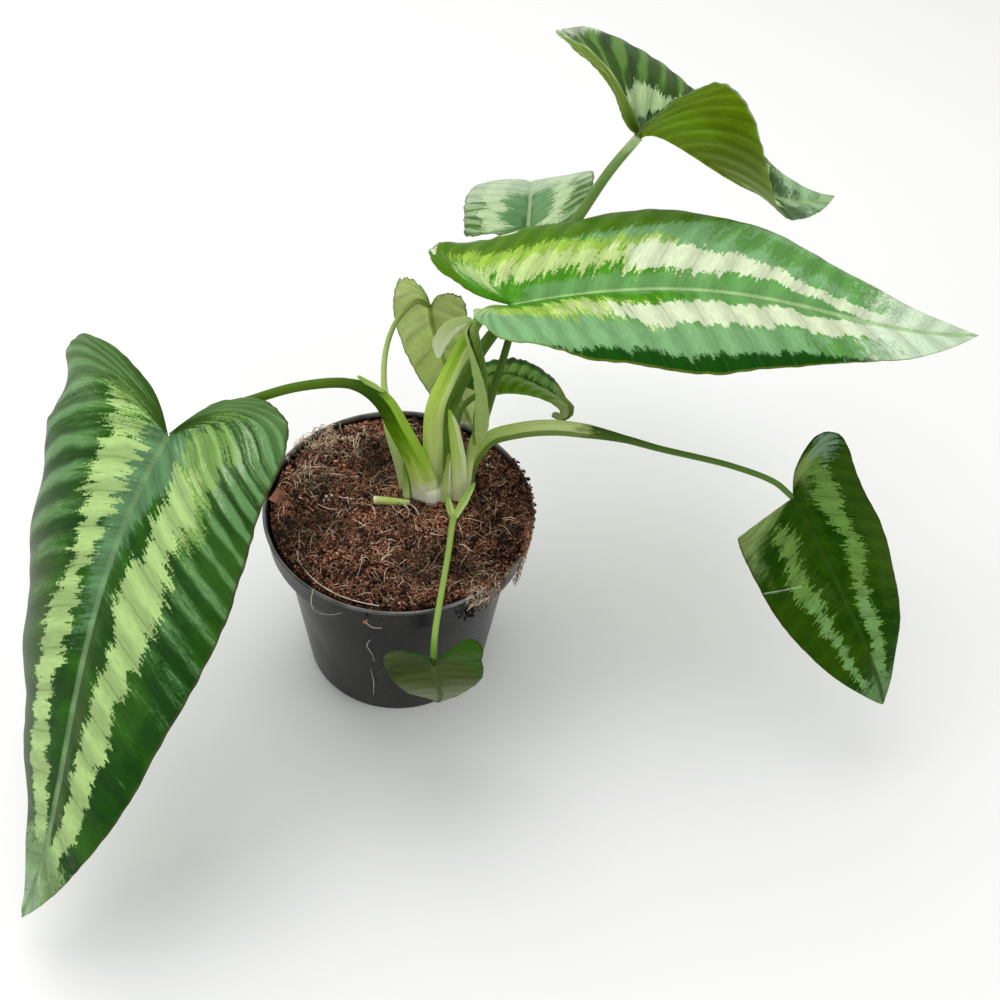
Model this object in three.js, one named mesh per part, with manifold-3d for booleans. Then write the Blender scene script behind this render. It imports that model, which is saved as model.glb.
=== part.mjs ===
// A potted Schismatoglottis wallichii: eight open leaves, one leaf still rolled, and their stalks,
// in a 12 cm nursery pot filled to just under its rim.
// Millimetres, +Z up. The origin is the middle of the pot's underside; the plant's front faces -Y.
import * as THREE from 'three';
import { mergeVertices } from 'three/addons/utils/BufferGeometryUtils.js';
import Module from 'manifold-3d';

const wasm = await Module();
wasm.setup();

// Driving sizes of the pot
const POT_HEIGHT = 98;
const RIM_RADIUS = 60;
const RIM_BEAD = 1.6;
const COLLAR_HEIGHT = 14;
const COLLAR_RADIUS = 58.3;
const BODY_TOP_RADIUS = 52.4;
const BASE_RADIUS = 43.4;
const POT_WALL = 1.2;
const POT_SIDES = 56;
const DRAIN_HOLES = 6;
const DRAIN_RADIUS = 4;
const DRAIN_RING = 31;

// Driving sizes of the potting mix
const MIX_LEVEL = 96.2;
const MIX_RISE = 2.6;
const MIX_LUMPS = 1.3;
const MIX_RINGS = 11;
const MIX_SIDES = 44;

// Driving sizes that every leaf shares
const GAP = 0.35;
const BLADE_THICKNESS = 0.8;
const KEEL = 1.1;
const FAN = 0.34;
const FAN_POWER = 1.15;
const STEM_SIDES = 8;
const STEM_STEP = 7;

// Outline of half a cordate blade, from the stalk round the lobe to the tip. Each pair is a share of
// the half's length and of its width; where along is negative it is a share of the lobe's length.
const HALF_OUTLINE = [
  { along: 0, across: 0 },
  { along: -0.58, across: 0.17, by: 'sinus' },
  { along: -1, across: 0.5, by: 'sinus' },
  { along: -0.72, across: 0.86, by: 'corner' },
  { along: 0.08, across: 1, by: 'shoulder' },
  { along: 0.34, across: 0.97 },
  { along: 0.62, across: 0.66, by: 'taper' },
  { along: 0.84, across: 0.27, by: 'taper' },
  { along: 1, across: 0 },
];

// The leaves. midrib: four points that its curve is drawn from, insertion first. face: which way the
// upper side looks at the insertion and at the tip. Each half, right and left as seen walking along
// the midrib on the upper side, has its width, the length of its lobe, how full its sinus, shoulder
// and taper are, its fold from the midrib in degrees at base and tip, the curl from midrib to margin
// and the upward curl of the lobe. waves and wave: number and height of the ripples along a margin.
const LEAVES = {
  left: {
    midrib: [[-92, -14, 154], [-128, -88, 126], [-119, -139, 84], [-150, -153, 20]],
    face: [[-0.6, -0.7, 0.45], [-0.8, -0.5, 0.4]],
    right: { width: 71, lobe: 35, sinus: 1.6, shoulder: 1.1, fold: [22, -5], curl: -50, lift: 50 },
    left: { width: 59, lobe: 26, sinus: 0.95, shoulder: 0.9, fold: [5, 5], curl: -45, lift: 0 },
    taper: 1, waves: 9, wave: 1, rows: 36, columns: 4, color: 0x3f6b38,
  },
  right: {
    midrib: [[46, 23, 194], [150, 37, 211], [176, 7, 191], [250, 35, 172]],
    face: [[-0.3, 0.2, 0.93], [0.05, -0.33, 0.94]],
    right: { width: 55, lobe: 19, sinus: 0.8, shoulder: 1.05, fold: [25, 0], curl: -30, lift: 25 },
    left: { width: 58, lobe: 30, sinus: 1.05, shoulder: 0.95, fold: [25, 5], curl: -38, lift: 20 },
    taper: 0.77, waves: 9, wave: 0.6, rows: 36, columns: 4, color: 0x7fae5c,
  },
  top: {
    midrib: [[100, 95, 228], [118, 122, 221], [165, 105, 173], [209, 137, 171]],
    face: [[0.75, -0.45, 0.5], [-0.4, -0.35, 0.85]],
    right: { width: 42, lobe: 16, sinus: 0.8, shoulder: 1, fold: [120, 0], curl: -15, lift: 0 },
    left: { width: 59, lobe: 37, sinus: 1.1, shoulder: 1, fold: [15, 5], curl: -78, lift: 40 },
    taper: 0.87, waves: 6, wave: 0.9, rows: 28, columns: 4, color: 0x6f9250,
  },
  back: {
    midrib: [[60, 122, 160], [63, 149, 161], [65, 170, 156], [68, 202, 128]],
    face: [[-0.3, -0.05, 0.95], [0.05, 0.1, 1]],
    right: { width: 33, lobe: 21, sinus: 1, shoulder: 1, fold: [25, 5], curl: -10, lift: 5 },
    left: { width: 33, lobe: 13, sinus: 1.05, shoulder: 0.95, fold: [20, 5], curl: -25, lift: 35 },
    taper: 1, waves: 5, wave: 0.7, rows: 22, columns: 3, color: 0x8ca77c,
  },
  low_right: {
    midrib: [[171, -12, 118], [181, -33, 110], [203, -73, 85], [220, -68, 40]],
    face: [[-0.3, -0.8, 0.5], [0.3, -0.77, 0.57]],
    right: { width: 32.5, lobe: -4, sinus: 1.25, shoulder: 1, fold: [5, 5], curl: -30, lift: 0 },
    left: { width: 28, lobe: 18.5, sinus: 1.6, shoulder: 1.02, fold: [10, 0], curl: -35, lift: 5 },
    taper: 1.05, waves: 6, wave: 0.7, rows: 26, columns: 3, color: 0x3c5f2b,
  },
  young: {
    midrib: [[13, 58, 164], [13, 67, 137], [32, 48, 109], [36, 64, 81]],
    face: [[0.2, 0.95, 0.15], [-0.1, 1, -0.05]],
    right: { width: 16, lobe: 17, sinus: 1.05, shoulder: 1, fold: [10, 8], curl: -10, lift: -30 },
    left: { width: 17, lobe: 16, sinus: 1.05, shoulder: 1, fold: [10, 5], curl: -15, lift: 0 },
    taper: 1.1, waves: 4, wave: 0.4, rows: 20, columns: 3, color: 0x8ea566,
  },
  small: {
    midrib: [[41, 35, 134], [51, 36, 138], [79, 33, 131], [72, 32, 119]],
    face: [[0.1, 0.1, 1], [-0.35, 0.05, 0.95]],
    right: { width: 20, lobe: 7, sinus: 0.8, shoulder: 0.95, fold: [75, 40], curl: -20, lift: 0 },
    left: { width: 20, lobe: 12, sinus: 1, shoulder: 0.95, fold: [20, 5], curl: -15, lift: 0 },
    taper: 0.87, waves: 4, wave: 0.5, rows: 18, columns: 3, color: 0x5f8a3a,
  },
  front: {
    midrib: [[14, -84, 99], [12, -79, 89], [22, -79, 61], [17, -62, 36]],
    face: [[0, 0.9, 0.42], [-0.1, 0.9, -0.42]],
    right: { width: 20, lobe: 19, sinus: 1, shoulder: 1, fold: [10, 5], curl: -15, lift: 30 },
    left: { width: 20, lobe: 16, sinus: 1, shoulder: 1, fold: [10, 10], curl: -5, lift: -12 },
    taper: 1, waves: 4, wave: 0.5, rows: 20, columns: 3, color: 0x6c7d55,
  },
};

// The stalks, innermost first, since each later one is hollowed to lie round those before it.
// route: points up the stalk, each with its half width and half thickness; facing: its broad side.
const STALKS = {
  rolled_leaf: {
    facing: [0, -1, 0.3],
    route: [[28.5, 9.5, 84, 2.6, 2.6], [29.5, 9, 106, 2.5, 2.5], [30.5, 7.5, 122, 1.9, 1.9],
      [31.8, 5.2, 133, 2.2, 2], [33.3, 4.4, 140, 2.4, 2.2]],
    color: 0xa9c37c,
  },
  top_stalk: {
    facing: [0, -1, 0.3],
    route: [[20, 18, 84, 4, 4], [21, 17.5, 115, 3.5, 3.5], [23, 18, 146, 2.8, 2.8],
      [34, 29, 164, 2.6, 2.6], [50, 49, 174, 2.5, 2.5], [66, 72, 182.5, 2.4, 2.4],
      [79, 90, 191, 2.3, 2.3], [89.5, 95, 209, 2.2, 2.2], [99.8, 94.4, 227.2, 2, 2]],
    color: 0x5f8442,
  },
  right_stalk: {
    facing: [0, -1, 0.3],
    route: [[15.3, 11.5, 84, 4.4, 3.6], [14.6, 10.2, 118, 4.2, 3.4], [15, 10, 150, 3.8, 3],
      [21, 15, 165, 3.4, 2.8], [27.5, 20, 179, 2.6, 2.4], [35.5, 23, 190.5, 2, 2],
      [44.5, 23, 191.3, 1.8, 1.8]],
    color: 0x9abb55,
  },
  back_stalk: {
    facing: [0, -1, 0.3],
    route: [[29.5, 19.5, 84, 2, 2], [34.5, 19.5, 118, 1.8, 1.8], [40, 24, 145, 1.7, 1.7],
      [46.8, 39, 164.5, 1.6, 1.6], [52, 62, 168, 1.6, 1.6], [57, 92, 166, 1.5, 1.5],
      [60, 119.5, 157.6, 1.4, 1.4]],
    color: 0x5f8442,
  },
  small_stalk: {
    facing: [0, -1, 0.3],
    route: [[25, 21.5, 84, 1.7, 1.7], [25, 21.5, 118, 1.5, 1.5], [27, 23, 136, 1.4, 1.4],
      [33, 26, 140.5, 1.3, 1.3], [37.5, 30, 137, 1.2, 1.2], [40.6, 34.4, 132.4, 1.2, 1.2]],
    color: 0x7f9f4c,
  },
  low_right_stalk: {
    facing: [0, -0.8, 0.6],
    route: [[31.5, 14, 84, 2.6, 2.6], [31.5, 14, 108, 2.9, 2.4], [39, 13.5, 126.5, 3.2, 2],
      [51, 12, 133.5, 3.3, 1.8], [65, 9.5, 138, 3.3, 1.8], [80, 6.5, 139, 2.9, 1.8], [96, 3, 138, 1.7, 1.6],
      [111, 0, 135.5, 1.4, 1.4], [142, -6, 131.5, 1.3, 1.3], [161, -10, 126, 1.3, 1.3],
      [171, -11, 117.3, 1.3, 1.3]],
    color: 0x86a35c,
  },
  left_stalk: {
    facing: [0, -1, 0.2],
    route: [[12.3, 7, 84, 5.4, 3.7], [11, 6.3, 104, 5.2, 3.5], [7.4, 5.2, 121, 4.8, 3.1],
      [0, 2, 144, 4.4, 2.6], [-8, 0.5, 163, 3.8, 2], [-20, -1, 172, 2.2, 1.8], [-40, -2, 171, 2, 1.8],
      [-62, -3.5, 163.5, 1.9, 1.8], [-79, -6, 158, 1.8, 1.8], [-91, -12, 152, 1.8, 1.8]],
    color: 0x8fb552,
  },
  young_stalk: {
    facing: [0, -1, 0.3],
    route: [[5.5, 12, 84, 4.2, 3], [3.8, 12, 102, 4.2, 2.6], [-4.5, 19, 132, 2.6, 1.8],
      [-7, 32, 141.5, 1.3, 1.3], [-6, 46, 150, 1.2, 1.2], [-1, 54, 159.5, 1.1, 1.1],
      [7, 57, 166.5, 1.1, 1.1], [12.6, 56.8, 164.2, 1, 1]],
    color: 0xa4b878,
  },
  front_stalk: {
    facing: [1, 0, 0],
    route: [[25.5, 0.4, 84, 1.8, 1.8], [25.2, -2.2, 93, 1.9, 1.9], [23.6, -9.5, 99.2, 1.8, 1.8],
      [21, -30, 101, 1.7, 1.7], [16.5, -60, 102.7, 1.7, 1.7], [14.5, -76, 104, 1.6, 1.6],
      [14, -84, 100, 1.4, 1.4]],
    color: 0x8aa465,
  },
  tall_bract: {
    facing: [0, -1, 0.3],
    route: [[26, 4.8, 84, 3.2, 1.9], [26.3, 4.6, 104, 3.2, 1.8], [25.3, 4.2, 124, 3, 1.6],
      [22.5, 3.6, 144, 2.1, 1.3], [20.6, 3, 153.5, 0.7, 0.6]],
    color: 0xb6cc8c,
  },
  left_bract: {
    facing: [0, -1, 0.3],
    route: [[4, 5.6, 84, 2.4, 1.5], [3.8, 5.8, 102, 2.2, 1.2], [2.3, 8, 119.2, 0.6, 0.5]],
    color: 0xc9d5a4,
  },
  front_bract: {
    facing: [0, -1, 0.3],
    route: [[20.8, 3, 84, 2.2, 1.3], [20.6, 3.2, 104, 2.2, 1.2], [21.2, 4, 126, 0.7, 0.5]],
    color: 0xc3d29a,
  },
};

// The front leaf's sheath stands open in two ears round the shoot beside it.
const EARS = [
  {
    facing: [0.5, -1, 0.3],
    route: [[23.8, -7.5, 98.6, 1.4, 1], [22.2, -5, 101.5, 1.8, 0.6], [21.2, -1.5, 104.8, 1.1, 0.5]],
  },
  {
    facing: [-0.5, -1, 0.3],
    route: [[24.4, -7.5, 98.6, 1.4, 1], [28.5, -2.6, 104, 1.8, 0.6], [32.6, 1.5, 110.3, 0.8, 0.5]],
  },
];

// Crown, where the stalks leave the mix
const CROWN = { x: 14.5, y: 11, foot: 84, top: 104, foot_radius: 9.5, top_radius: 8.3 };

// Rolled leaf: a sheet wound round its own axis, each point with the radius of the innermost wind, and
// the loose flap at its left. turns: how far it is wound; step: how far each wind lies outside the last.
const ROLL = {
  route: [[32.4, 3.8, 134, 1.5], [33.3, 4.4, 140, 2.2], [34, 5.8, 155, 1.6], [32.6, 8, 171, 1.8],
    [29, 11, 187, 1.7], [28, 12, 194.5, 1]],
  turns: 1.3,
  step: 1.45,
  thickness: 0.8,
  rows: 14,
  columns: 14,
};
const FLAP = {
  facing: [0.3, -1, 0.2],
  route: [[15.5, 12, 175, 0.8, 0.5], [16.2, 12.5, 183, 3.4, 0.5], [20.5, 13, 190.5, 3.6, 0.5],
    [27, 12.5, 195, 2, 0.6]],
};

// Cut end of an old stalk, lying on the mix
const STUB = { from: [-11.2, 3.2, 97.7], to: [4.6, 1.5, 97.7], radius: 1.9 };

const vector = ([x, y, z]) => new THREE.Vector3(x, y, z);
const radians = THREE.MathUtils.degToRad;

function geometryFrom(points, triangles) {
  const geometry = new THREE.BufferGeometry();
  geometry.setAttribute('position', new THREE.Float32BufferAttribute(points.flatMap((p) => p.toArray()), 3));
  geometry.setIndex(triangles);
  return geometry;
}

// Merges equal corners and drops the triangles that have no area left.
function welded(geometry) {
  const bare = new THREE.BufferGeometry();
  bare.setAttribute('position', geometry.getAttribute('position'));
  bare.setIndex(geometry.index);
  const merged = mergeVertices(bare, 1e-4);
  const old = merged.index.array;
  const kept = [];
  for (let i = 0; i < old.length; i += 3) {
    const [a, b, c] = [old[i], old[i + 1], old[i + 2]];
    if (a !== b && b !== c && c !== a) kept.push(a, b, c);
  }
  merged.setIndex(kept);
  return merged;
}

function solid(geometry) {
  const shape = welded(geometry);
  return new wasm.Manifold(new wasm.Mesh({
    numProp: 3,
    vertProperties: new Float32Array(shape.getAttribute('position').array),
    triVerts: new Uint32Array(shape.index.array),
  }));
}

// The largest loose body of a solid, as a geometry.
function geometryOf(body) {
  const pieces = body.decompose().sort((a, b) => b.volume() - a.volume());
  const mesh = pieces[0].getMesh();
  const geometry = new THREE.BufferGeometry();
  geometry.setAttribute('position', new THREE.BufferAttribute(new Float32Array(mesh.vertProperties), 3));
  geometry.setIndex(new THREE.BufferAttribute(new Uint32Array(mesh.triVerts), 1));
  return geometry;
}

// A closed skin over closed loops of equal, even length. Each end is closed by a strip between the
// first and second half of its loop, which also suits the thin section of a rolled sheet.
function skin(loops) {
  const count = loops[0].length;
  const triangles = [];
  for (let row = 0; row + 1 < loops.length; row += 1) {
    for (let i = 0; i < count; i += 1) {
      const a = row * count + i;
      const b = row * count + (i + 1) % count;
      triangles.push(a, b, b + count, a, b + count, a + count);
    }
  }
  for (const [row, flip] of [[0, true], [loops.length - 1, false]]) {
    for (let i = 0; i + 1 < count / 2; i += 1) {
      const [a, b, c, d] = [i, i + 1, count - 2 - i, count - 1 - i].map((k) => row * count + k);
      if (flip) triangles.push(a, c, b, a, d, c);
      else triangles.push(a, b, c, a, c, d);
    }
  }
  return geometryFrom(loops.flat(), triangles);
}

// Value at share t along a list that is spaced evenly.
function between(values, t) {
  const place = Math.min(t * (values.length - 1), values.length - 1 - 1e-9);
  const i = Math.floor(place);
  return values[i] + (values[i + 1] - values[i]) * (place - i);
}

// Half a blade's outline in its flat state: x along the midrib, y out from it.
function halfOutline(half, taper, length) {
  const corner = (half.sinus + half.shoulder) / 2;
  const fullness = { sinus: half.sinus, corner, shoulder: half.shoulder, taper };
  const points = HALF_OUTLINE.map(({ along, across, by }) => new THREE.Vector2(
    along * (along < 0 ? half.lobe : length),
    across * half.width * (by ? fullness[by] : 1),
  ));
  return new THREE.SplineCurve(points);
}

function bladeFrame(leaf) {
  const midrib = new THREE.CubicBezierCurve3(...leaf.midrib.map(vector));
  const length = midrib.getLength();
  const halves = { '-1': leaf.left, 1: leaf.right };
  const outlines = {
    '-1': halfOutline(leaf.left, leaf.taper, length),
    1: halfOutline(leaf.right, leaf.taper, length),
  };
  return { leaf, midrib, length, halves, outlines, base: vector(leaf.face[0]), tip: vector(leaf.face[1]) };
}

// Takes a flat place on the blade to space: the midrib bends along its curve, each half folds and
// curls up from it, and the lobe curls up behind the insertion. Gives the place and the upward normal.
function bend(frame, side, x, y) {
  const half = frame.halves[side];
  const share = THREE.MathUtils.clamp(x / frame.length, 0, 1);
  const centre = frame.midrib.getPointAt(share);
  const along = frame.midrib.getTangentAt(share);
  const up = frame.base.clone().normalize().lerp(frame.tip.clone().normalize(), share);
  up.addScaledVector(along, -up.dot(along)).normalize();
  const out = new THREE.Vector3().crossVectors(along, up).multiplyScalar(side);
  const fold = radians(half.fold[0] + (half.fold[1] - half.fold[0]) * share);
  const curl = radians(half.curl || 0.001) / half.width;
  const angle = fold + curl * y;
  centre.addScaledVector(out, (Math.sin(angle) - Math.sin(fold)) / curl);
  centre.addScaledVector(up, (Math.cos(fold) - Math.cos(angle)) / curl);
  const rear = Math.max(-x, 0);
  const lift = radians(half.lift || 0.001) / half.lobe;
  const turn = lift * rear;
  centre.addScaledVector(along, -Math.sin(turn) / lift);
  centre.addScaledVector(up, (1 - Math.cos(turn)) / lift);
  const tilt = y > 0 ? angle : 0;
  const normal = up.clone().multiplyScalar(Math.cos(tilt) * Math.cos(turn));
  normal.addScaledVector(out, -Math.sin(tilt)).addScaledVector(along, Math.sin(turn) * Math.cos(tilt));
  return { place: centre, normal: normal.normalize(), share };
}

// A place on the blade: u runs from the sinus (0) to the tip (1), s from midrib (0) to margin (1).
function onBlade(frame, side, u, s) {
  const edge = frame.outlines[side].getPoint(u);
  const foot = u < FAN ? 0 : frame.length * ((u - FAN) / (1 - FAN)) ** FAN_POWER;
  const spot = bend(frame, side, foot + (edge.x - foot) * s, edge.y * s);
  const ripple = Math.sin(2 * Math.PI * frame.leaf.waves * u + side) * s ** 3 * Math.sin(Math.PI * u);
  spot.place.addScaledVector(spot.normal, frame.leaf.wave * ripple);
  return spot;
}

// Which way the margin faces at u, or back along the stalk at the insertion.
function outward(frame, side, u) {
  const rim = onBlade(frame, side, u, 1).place.sub(onBlade(frame, side, u, 0.9).place);
  if (rim.length() > 0.1) return rim.normalize();
  return u < 0.5 ? frame.midrib.getTangentAt(0).negate() : frame.midrib.getTangentAt(1);
}

// The blade as a closed sheet with a keel under its midrib. Upper and lower face are split alike.
function blade(leaf, grow = 0) {
  const frame = bladeFrame(leaf);
  const { rows, columns } = leaf;
  const width = 2 * columns + 1;
  const upper = [];
  const lower = [];
  for (let i = 0; i <= rows; i += 1) {
    for (let j = -columns; j <= columns; j += 1) {
      const u = i / rows;
      const side = j < 0 ? -1 : 1;
      const { place, normal, share } = onBlade(frame, side, u, Math.abs(j) / columns);
      if (Math.abs(j) === columns || u === 0) place.addScaledVector(outward(frame, side, u), grow);
      const keel = j === 0 ? KEEL * (1 - 0.8 * share) : 0;
      const half = BLADE_THICKNESS / 2 + grow;
      upper.push(place.clone().addScaledVector(normal, half));
      lower.push(place.clone().addScaledVector(normal, -half - keel));
    }
  }
  const triangles = [];
  const below = upper.length;
  for (let i = 0; i < rows; i += 1) {
    for (let j = 0; j + 1 < width; j += 1) {
      const a = i * width + j;
      const [b, c, d] = [a + 1, a + width + 1, a + width];
      triangles.push(a, b, c, a, c, d);
      triangles.push(below + a, below + c, below + b, below + a, below + d, below + c);
    }
    for (const [j, flip] of [[0, false], [width - 1, true]]) {
      const a = i * width + j;
      const b = a + width;
      if (flip) triangles.push(a, below + a, below + b, a, below + b, b);
      else triangles.push(a, below + b, below + a, a, b, below + b);
    }
  }
  return geometryFrom([...upper, ...lower], triangles);
}

// What a stalk leaves free: the blade and its keel with the gap round them.
function bladeClearance(leaf) {
  const { place, normal } = bend(bladeFrame(leaf), 1, 0, 0);
  const seat = new THREE.SphereGeometry(KEEL / 2 + BLADE_THICKNESS / 2 + GAP * 2, 10, 7);
  seat.translate(...place.addScaledVector(normal, -KEEL / 2).toArray());
  return solid(blade(leaf, GAP)).add(solid(seat));
}

// A stalk or bract: an oval section carried along a smooth route.
function stalk({ route, facing }, grow = 0) {
  const curve = new THREE.CatmullRomCurve3(route.map(vector), false, 'centripetal');
  const rows = Math.ceil(curve.getLength() / STEM_STEP);
  const loops = [];
  for (let i = 0; i <= rows; i += 1) {
    const t = i / rows;
    const middle = curve.getPoint(t);
    const across = curve.getTangent(t).cross(vector(facing)).normalize();
    const through = new THREE.Vector3().crossVectors(curve.getTangent(t), across);
    const halfWidth = between(route.map((p) => p[3]), t) + grow;
    const halfDepth = between(route.map((p) => p[4]), t) + grow;
    const end = i === 0 ? -grow : i === rows ? grow : 0;
    middle.addScaledVector(curve.getTangent(t), end);
    loops.push(Array.from({ length: STEM_SIDES }, (_, k) => {
      const angle = 2 * Math.PI * k / STEM_SIDES;
      return middle.clone()
        .addScaledVector(across, halfWidth * Math.cos(angle))
        .addScaledVector(through, halfDepth * Math.sin(angle));
    }));
  }
  return skin(loops);
}

// The rolled leaf: each row is one wind of the sheet, out along its outer face and back along the inner.
function roll() {
  const curve = new THREE.CatmullRomCurve3(ROLL.route.map(vector), false, 'centripetal');
  const reach = ROLL.route.map((p) => p[3]);
  const loops = [];
  for (let i = 0; i <= ROLL.rows; i += 1) {
    const t = i / ROLL.rows;
    const across = curve.getTangent(t).cross(new THREE.Vector3(0, -1, 0)).normalize();
    const through = new THREE.Vector3().crossVectors(curve.getTangent(t), across);
    const face = (inset) => Array.from({ length: ROLL.columns + 1 }, (_, k) => {
      const wind = ROLL.turns * k / ROLL.columns;
      const radius = between(reach, t) + ROLL.step * wind - inset;
      const angle = 2 * Math.PI * wind;
      return curve.getPoint(t)
        .addScaledVector(across, radius * Math.cos(angle))
        .addScaledVector(through, radius * Math.sin(angle));
    });
    loops.push([...face(0), ...face(ROLL.thickness).reverse()]);
  }
  return skin(loops);
}

function turned(profile, sides) {
  return new THREE.LatheGeometry(profile.map(([r, z]) => new THREE.Vector2(r, z)), sides)
    .rotateX(Math.PI / 2);
}

// Pot: tapered body, a step out to the collar, a rolled bead at the rim, and drain holes in the base.
function pot() {
  const step = POT_HEIGHT - COLLAR_HEIGHT;
  const profile = [
    [0, 0], [BASE_RADIUS - 1, 0], [BASE_RADIUS, 1], [BODY_TOP_RADIUS, step - 1.5],
    [COLLAR_RADIUS - 0.6, step], [COLLAR_RADIUS, step + 0.6],
    [RIM_RADIUS - RIM_BEAD * 0.5, POT_HEIGHT - RIM_BEAD * 1.6],
    [RIM_RADIUS, POT_HEIGHT - RIM_BEAD * 0.9], [RIM_RADIUS - RIM_BEAD * 0.2, POT_HEIGHT - RIM_BEAD * 0.25],
    [RIM_RADIUS - RIM_BEAD * 0.8, POT_HEIGHT], [RIM_RADIUS - RIM_BEAD * 1.5, POT_HEIGHT - RIM_BEAD * 0.5],
    [COLLAR_RADIUS - POT_WALL, step + 1.4], [BODY_TOP_RADIUS - POT_WALL, step - 0.4],
    [BASE_RADIUS - POT_WALL, 2], [0, 2],
  ];
  let body = solid(turned(profile, POT_SIDES));
  for (let i = 0; i < DRAIN_HOLES; i += 1) {
    const angle = 2 * Math.PI * (i + 0.5) / DRAIN_HOLES;
    const hole = new THREE.CylinderGeometry(DRAIN_RADIUS, DRAIN_RADIUS, 10, 14).rotateX(Math.PI / 2)
      .translate(DRAIN_RING * Math.cos(angle), DRAIN_RING * Math.sin(angle), 0);
    body = body.subtract(solid(hole));
  }
  return body;
}

// Height of the mix: lumpy, and heaped towards the right of the pot.
function mixHeight(x, y) {
  const heap = MIX_RISE * THREE.MathUtils.smoothstep(x, 24, 56);
  const lumps = Math.sin(0.31 * x + 1.3) * Math.cos(0.27 * y - 0.6) + 0.6 * Math.sin(0.53 * x - 0.47 * y + 2)
    + 0.4 * Math.cos(0.83 * x + 0.71 * y);
  const calm = THREE.MathUtils.smoothstep(Math.hypot(x - CROWN.x, y - CROWN.y), 8, 26);
  return MIX_LEVEL + heap + MIX_LUMPS * lumps * calm * 0.6;
}

// Potting mix: fills the pot, with a plain hole for each stalk and a bed for the stub.
function mix(taken) {
  const inner = [
    [BASE_RADIUS - POT_WALL - 0.4, 2.4],
    [BODY_TOP_RADIUS - POT_WALL - 0.5, POT_HEIGHT - COLLAR_HEIGHT + 0.6],
    [COLLAR_RADIUS - POT_WALL - 0.7, POT_HEIGHT - COLLAR_HEIGHT + 2.2],
  ];
  const ring = (radius, height) => Array.from({ length: MIX_SIDES }, (_, k) => {
    const angle = 2 * Math.PI * k / MIX_SIDES;
    const [x, y] = [radius * Math.cos(angle), radius * Math.sin(angle)];
    return new THREE.Vector3(x, y, height ?? mixHeight(x, y));
  });
  const edge = COLLAR_RADIUS - POT_WALL - 0.5;
  const loops = inner.map(([radius, height]) => ring(radius, height));
  for (let i = 0; i < MIX_RINGS; i += 1) loops.push(ring(edge * (1 - i / MIX_RINGS)));
  let body = solid(skin(loops));
  for (const thing of taken) body = body.subtract(thing);
  return body;
}

function crown(taken) {
  const { x, y, foot, top, foot_radius, top_radius } = CROWN;
  const profile = [[0, foot], [foot_radius, foot], [foot_radius, MIX_LEVEL], [top_radius, top - 2],
    [top_radius - 1.5, top], [0, top]];
  let body = solid(turned(profile, 24).translate(x, y, 0));
  for (const thing of taken) body = body.subtract(thing);
  return body;
}

function stub(grow = 0) {
  const [from, to] = [vector(STUB.from), vector(STUB.to)];
  const size = STUB.radius + grow;
  const route = [from, to].map((p) => [...p.toArray(), size, size]);
  return stalk({ route, facing: [0, 0, 1] });
}

const plant = new THREE.Group();
plant.name = 'potted_plant';

function add(name, geometry, look) {
  const mesh = new THREE.Mesh(geometry, new THREE.MeshStandardMaterial({ metalness: 0, ...look }));
  mesh.name = name;
  plant.add(mesh);
}

const blades = Object.fromEntries(Object.entries(LEAVES).map(([name, leaf]) => [name, solid(blade(leaf))]));
const aroundBlades = Object.values(LEAVES).map(bladeClearance);
for (const [name, leaf] of Object.entries(LEAVES)) {
  add(`${name}_blade`, geometryOf(blades[name]), { color: leaf.color, roughness: 0.5 });
}

const EXTRAS = {
  rolled_leaf: [solid(roll()), solid(stalk(FLAP))],
  front_stalk: EARS.map((ear) => solid(stalk(ear))),
};
const aroundStalks = [];
for (const [name, spec] of Object.entries(STALKS)) {
  let body = solid(stalk(spec));
  for (const extra of EXTRAS[name] ?? []) body = body.add(extra);
  for (const other of [...aroundStalks, ...aroundBlades]) body = body.subtract(other);
  aroundStalks.push(solid(stalk(spec, GAP)));
  add(name, geometryOf(body), { color: spec.color, roughness: 0.55 });
}

const crownBody = crown(aroundStalks);
add('crown', geometryOf(crownBody), { color: 0xdfe3c2, roughness: 0.6 });

add('cut_stub', stub(), { color: 0xb9c48d, roughness: 0.6 });

const aroundCrown = solid(turned([[0, CROWN.foot - GAP], [CROWN.foot_radius + GAP, CROWN.foot - GAP],
  [CROWN.foot_radius + GAP, CROWN.top], [0, CROWN.top]], 24).translate(CROWN.x, CROWN.y, 0));
const mixBody = mix([...aroundStalks, aroundCrown, solid(stub(GAP))]);
add('potting_mix', geometryOf(mixBody), { color: 0x4a3428, roughness: 0.95 });

add('pot', geometryOf(pot()), { color: 0x1e2022, roughness: 0.45 });

export default plant;
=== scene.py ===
# %% [markdown]
# # A potted Schismatoglottis wallichii
#
# The plant has eight open leaves, one leaf that is still rolled, and their stalks, all rising from one
# crown in a black nursery pot. Everything here is a surface worked out as a whole array of points. Sizes of
# the plant and the pot are in millimetres until a mesh is made; lamps and floor are in metres.

import math

import bmesh
import bpy
import numpy as np
from mathutils import Matrix


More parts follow.
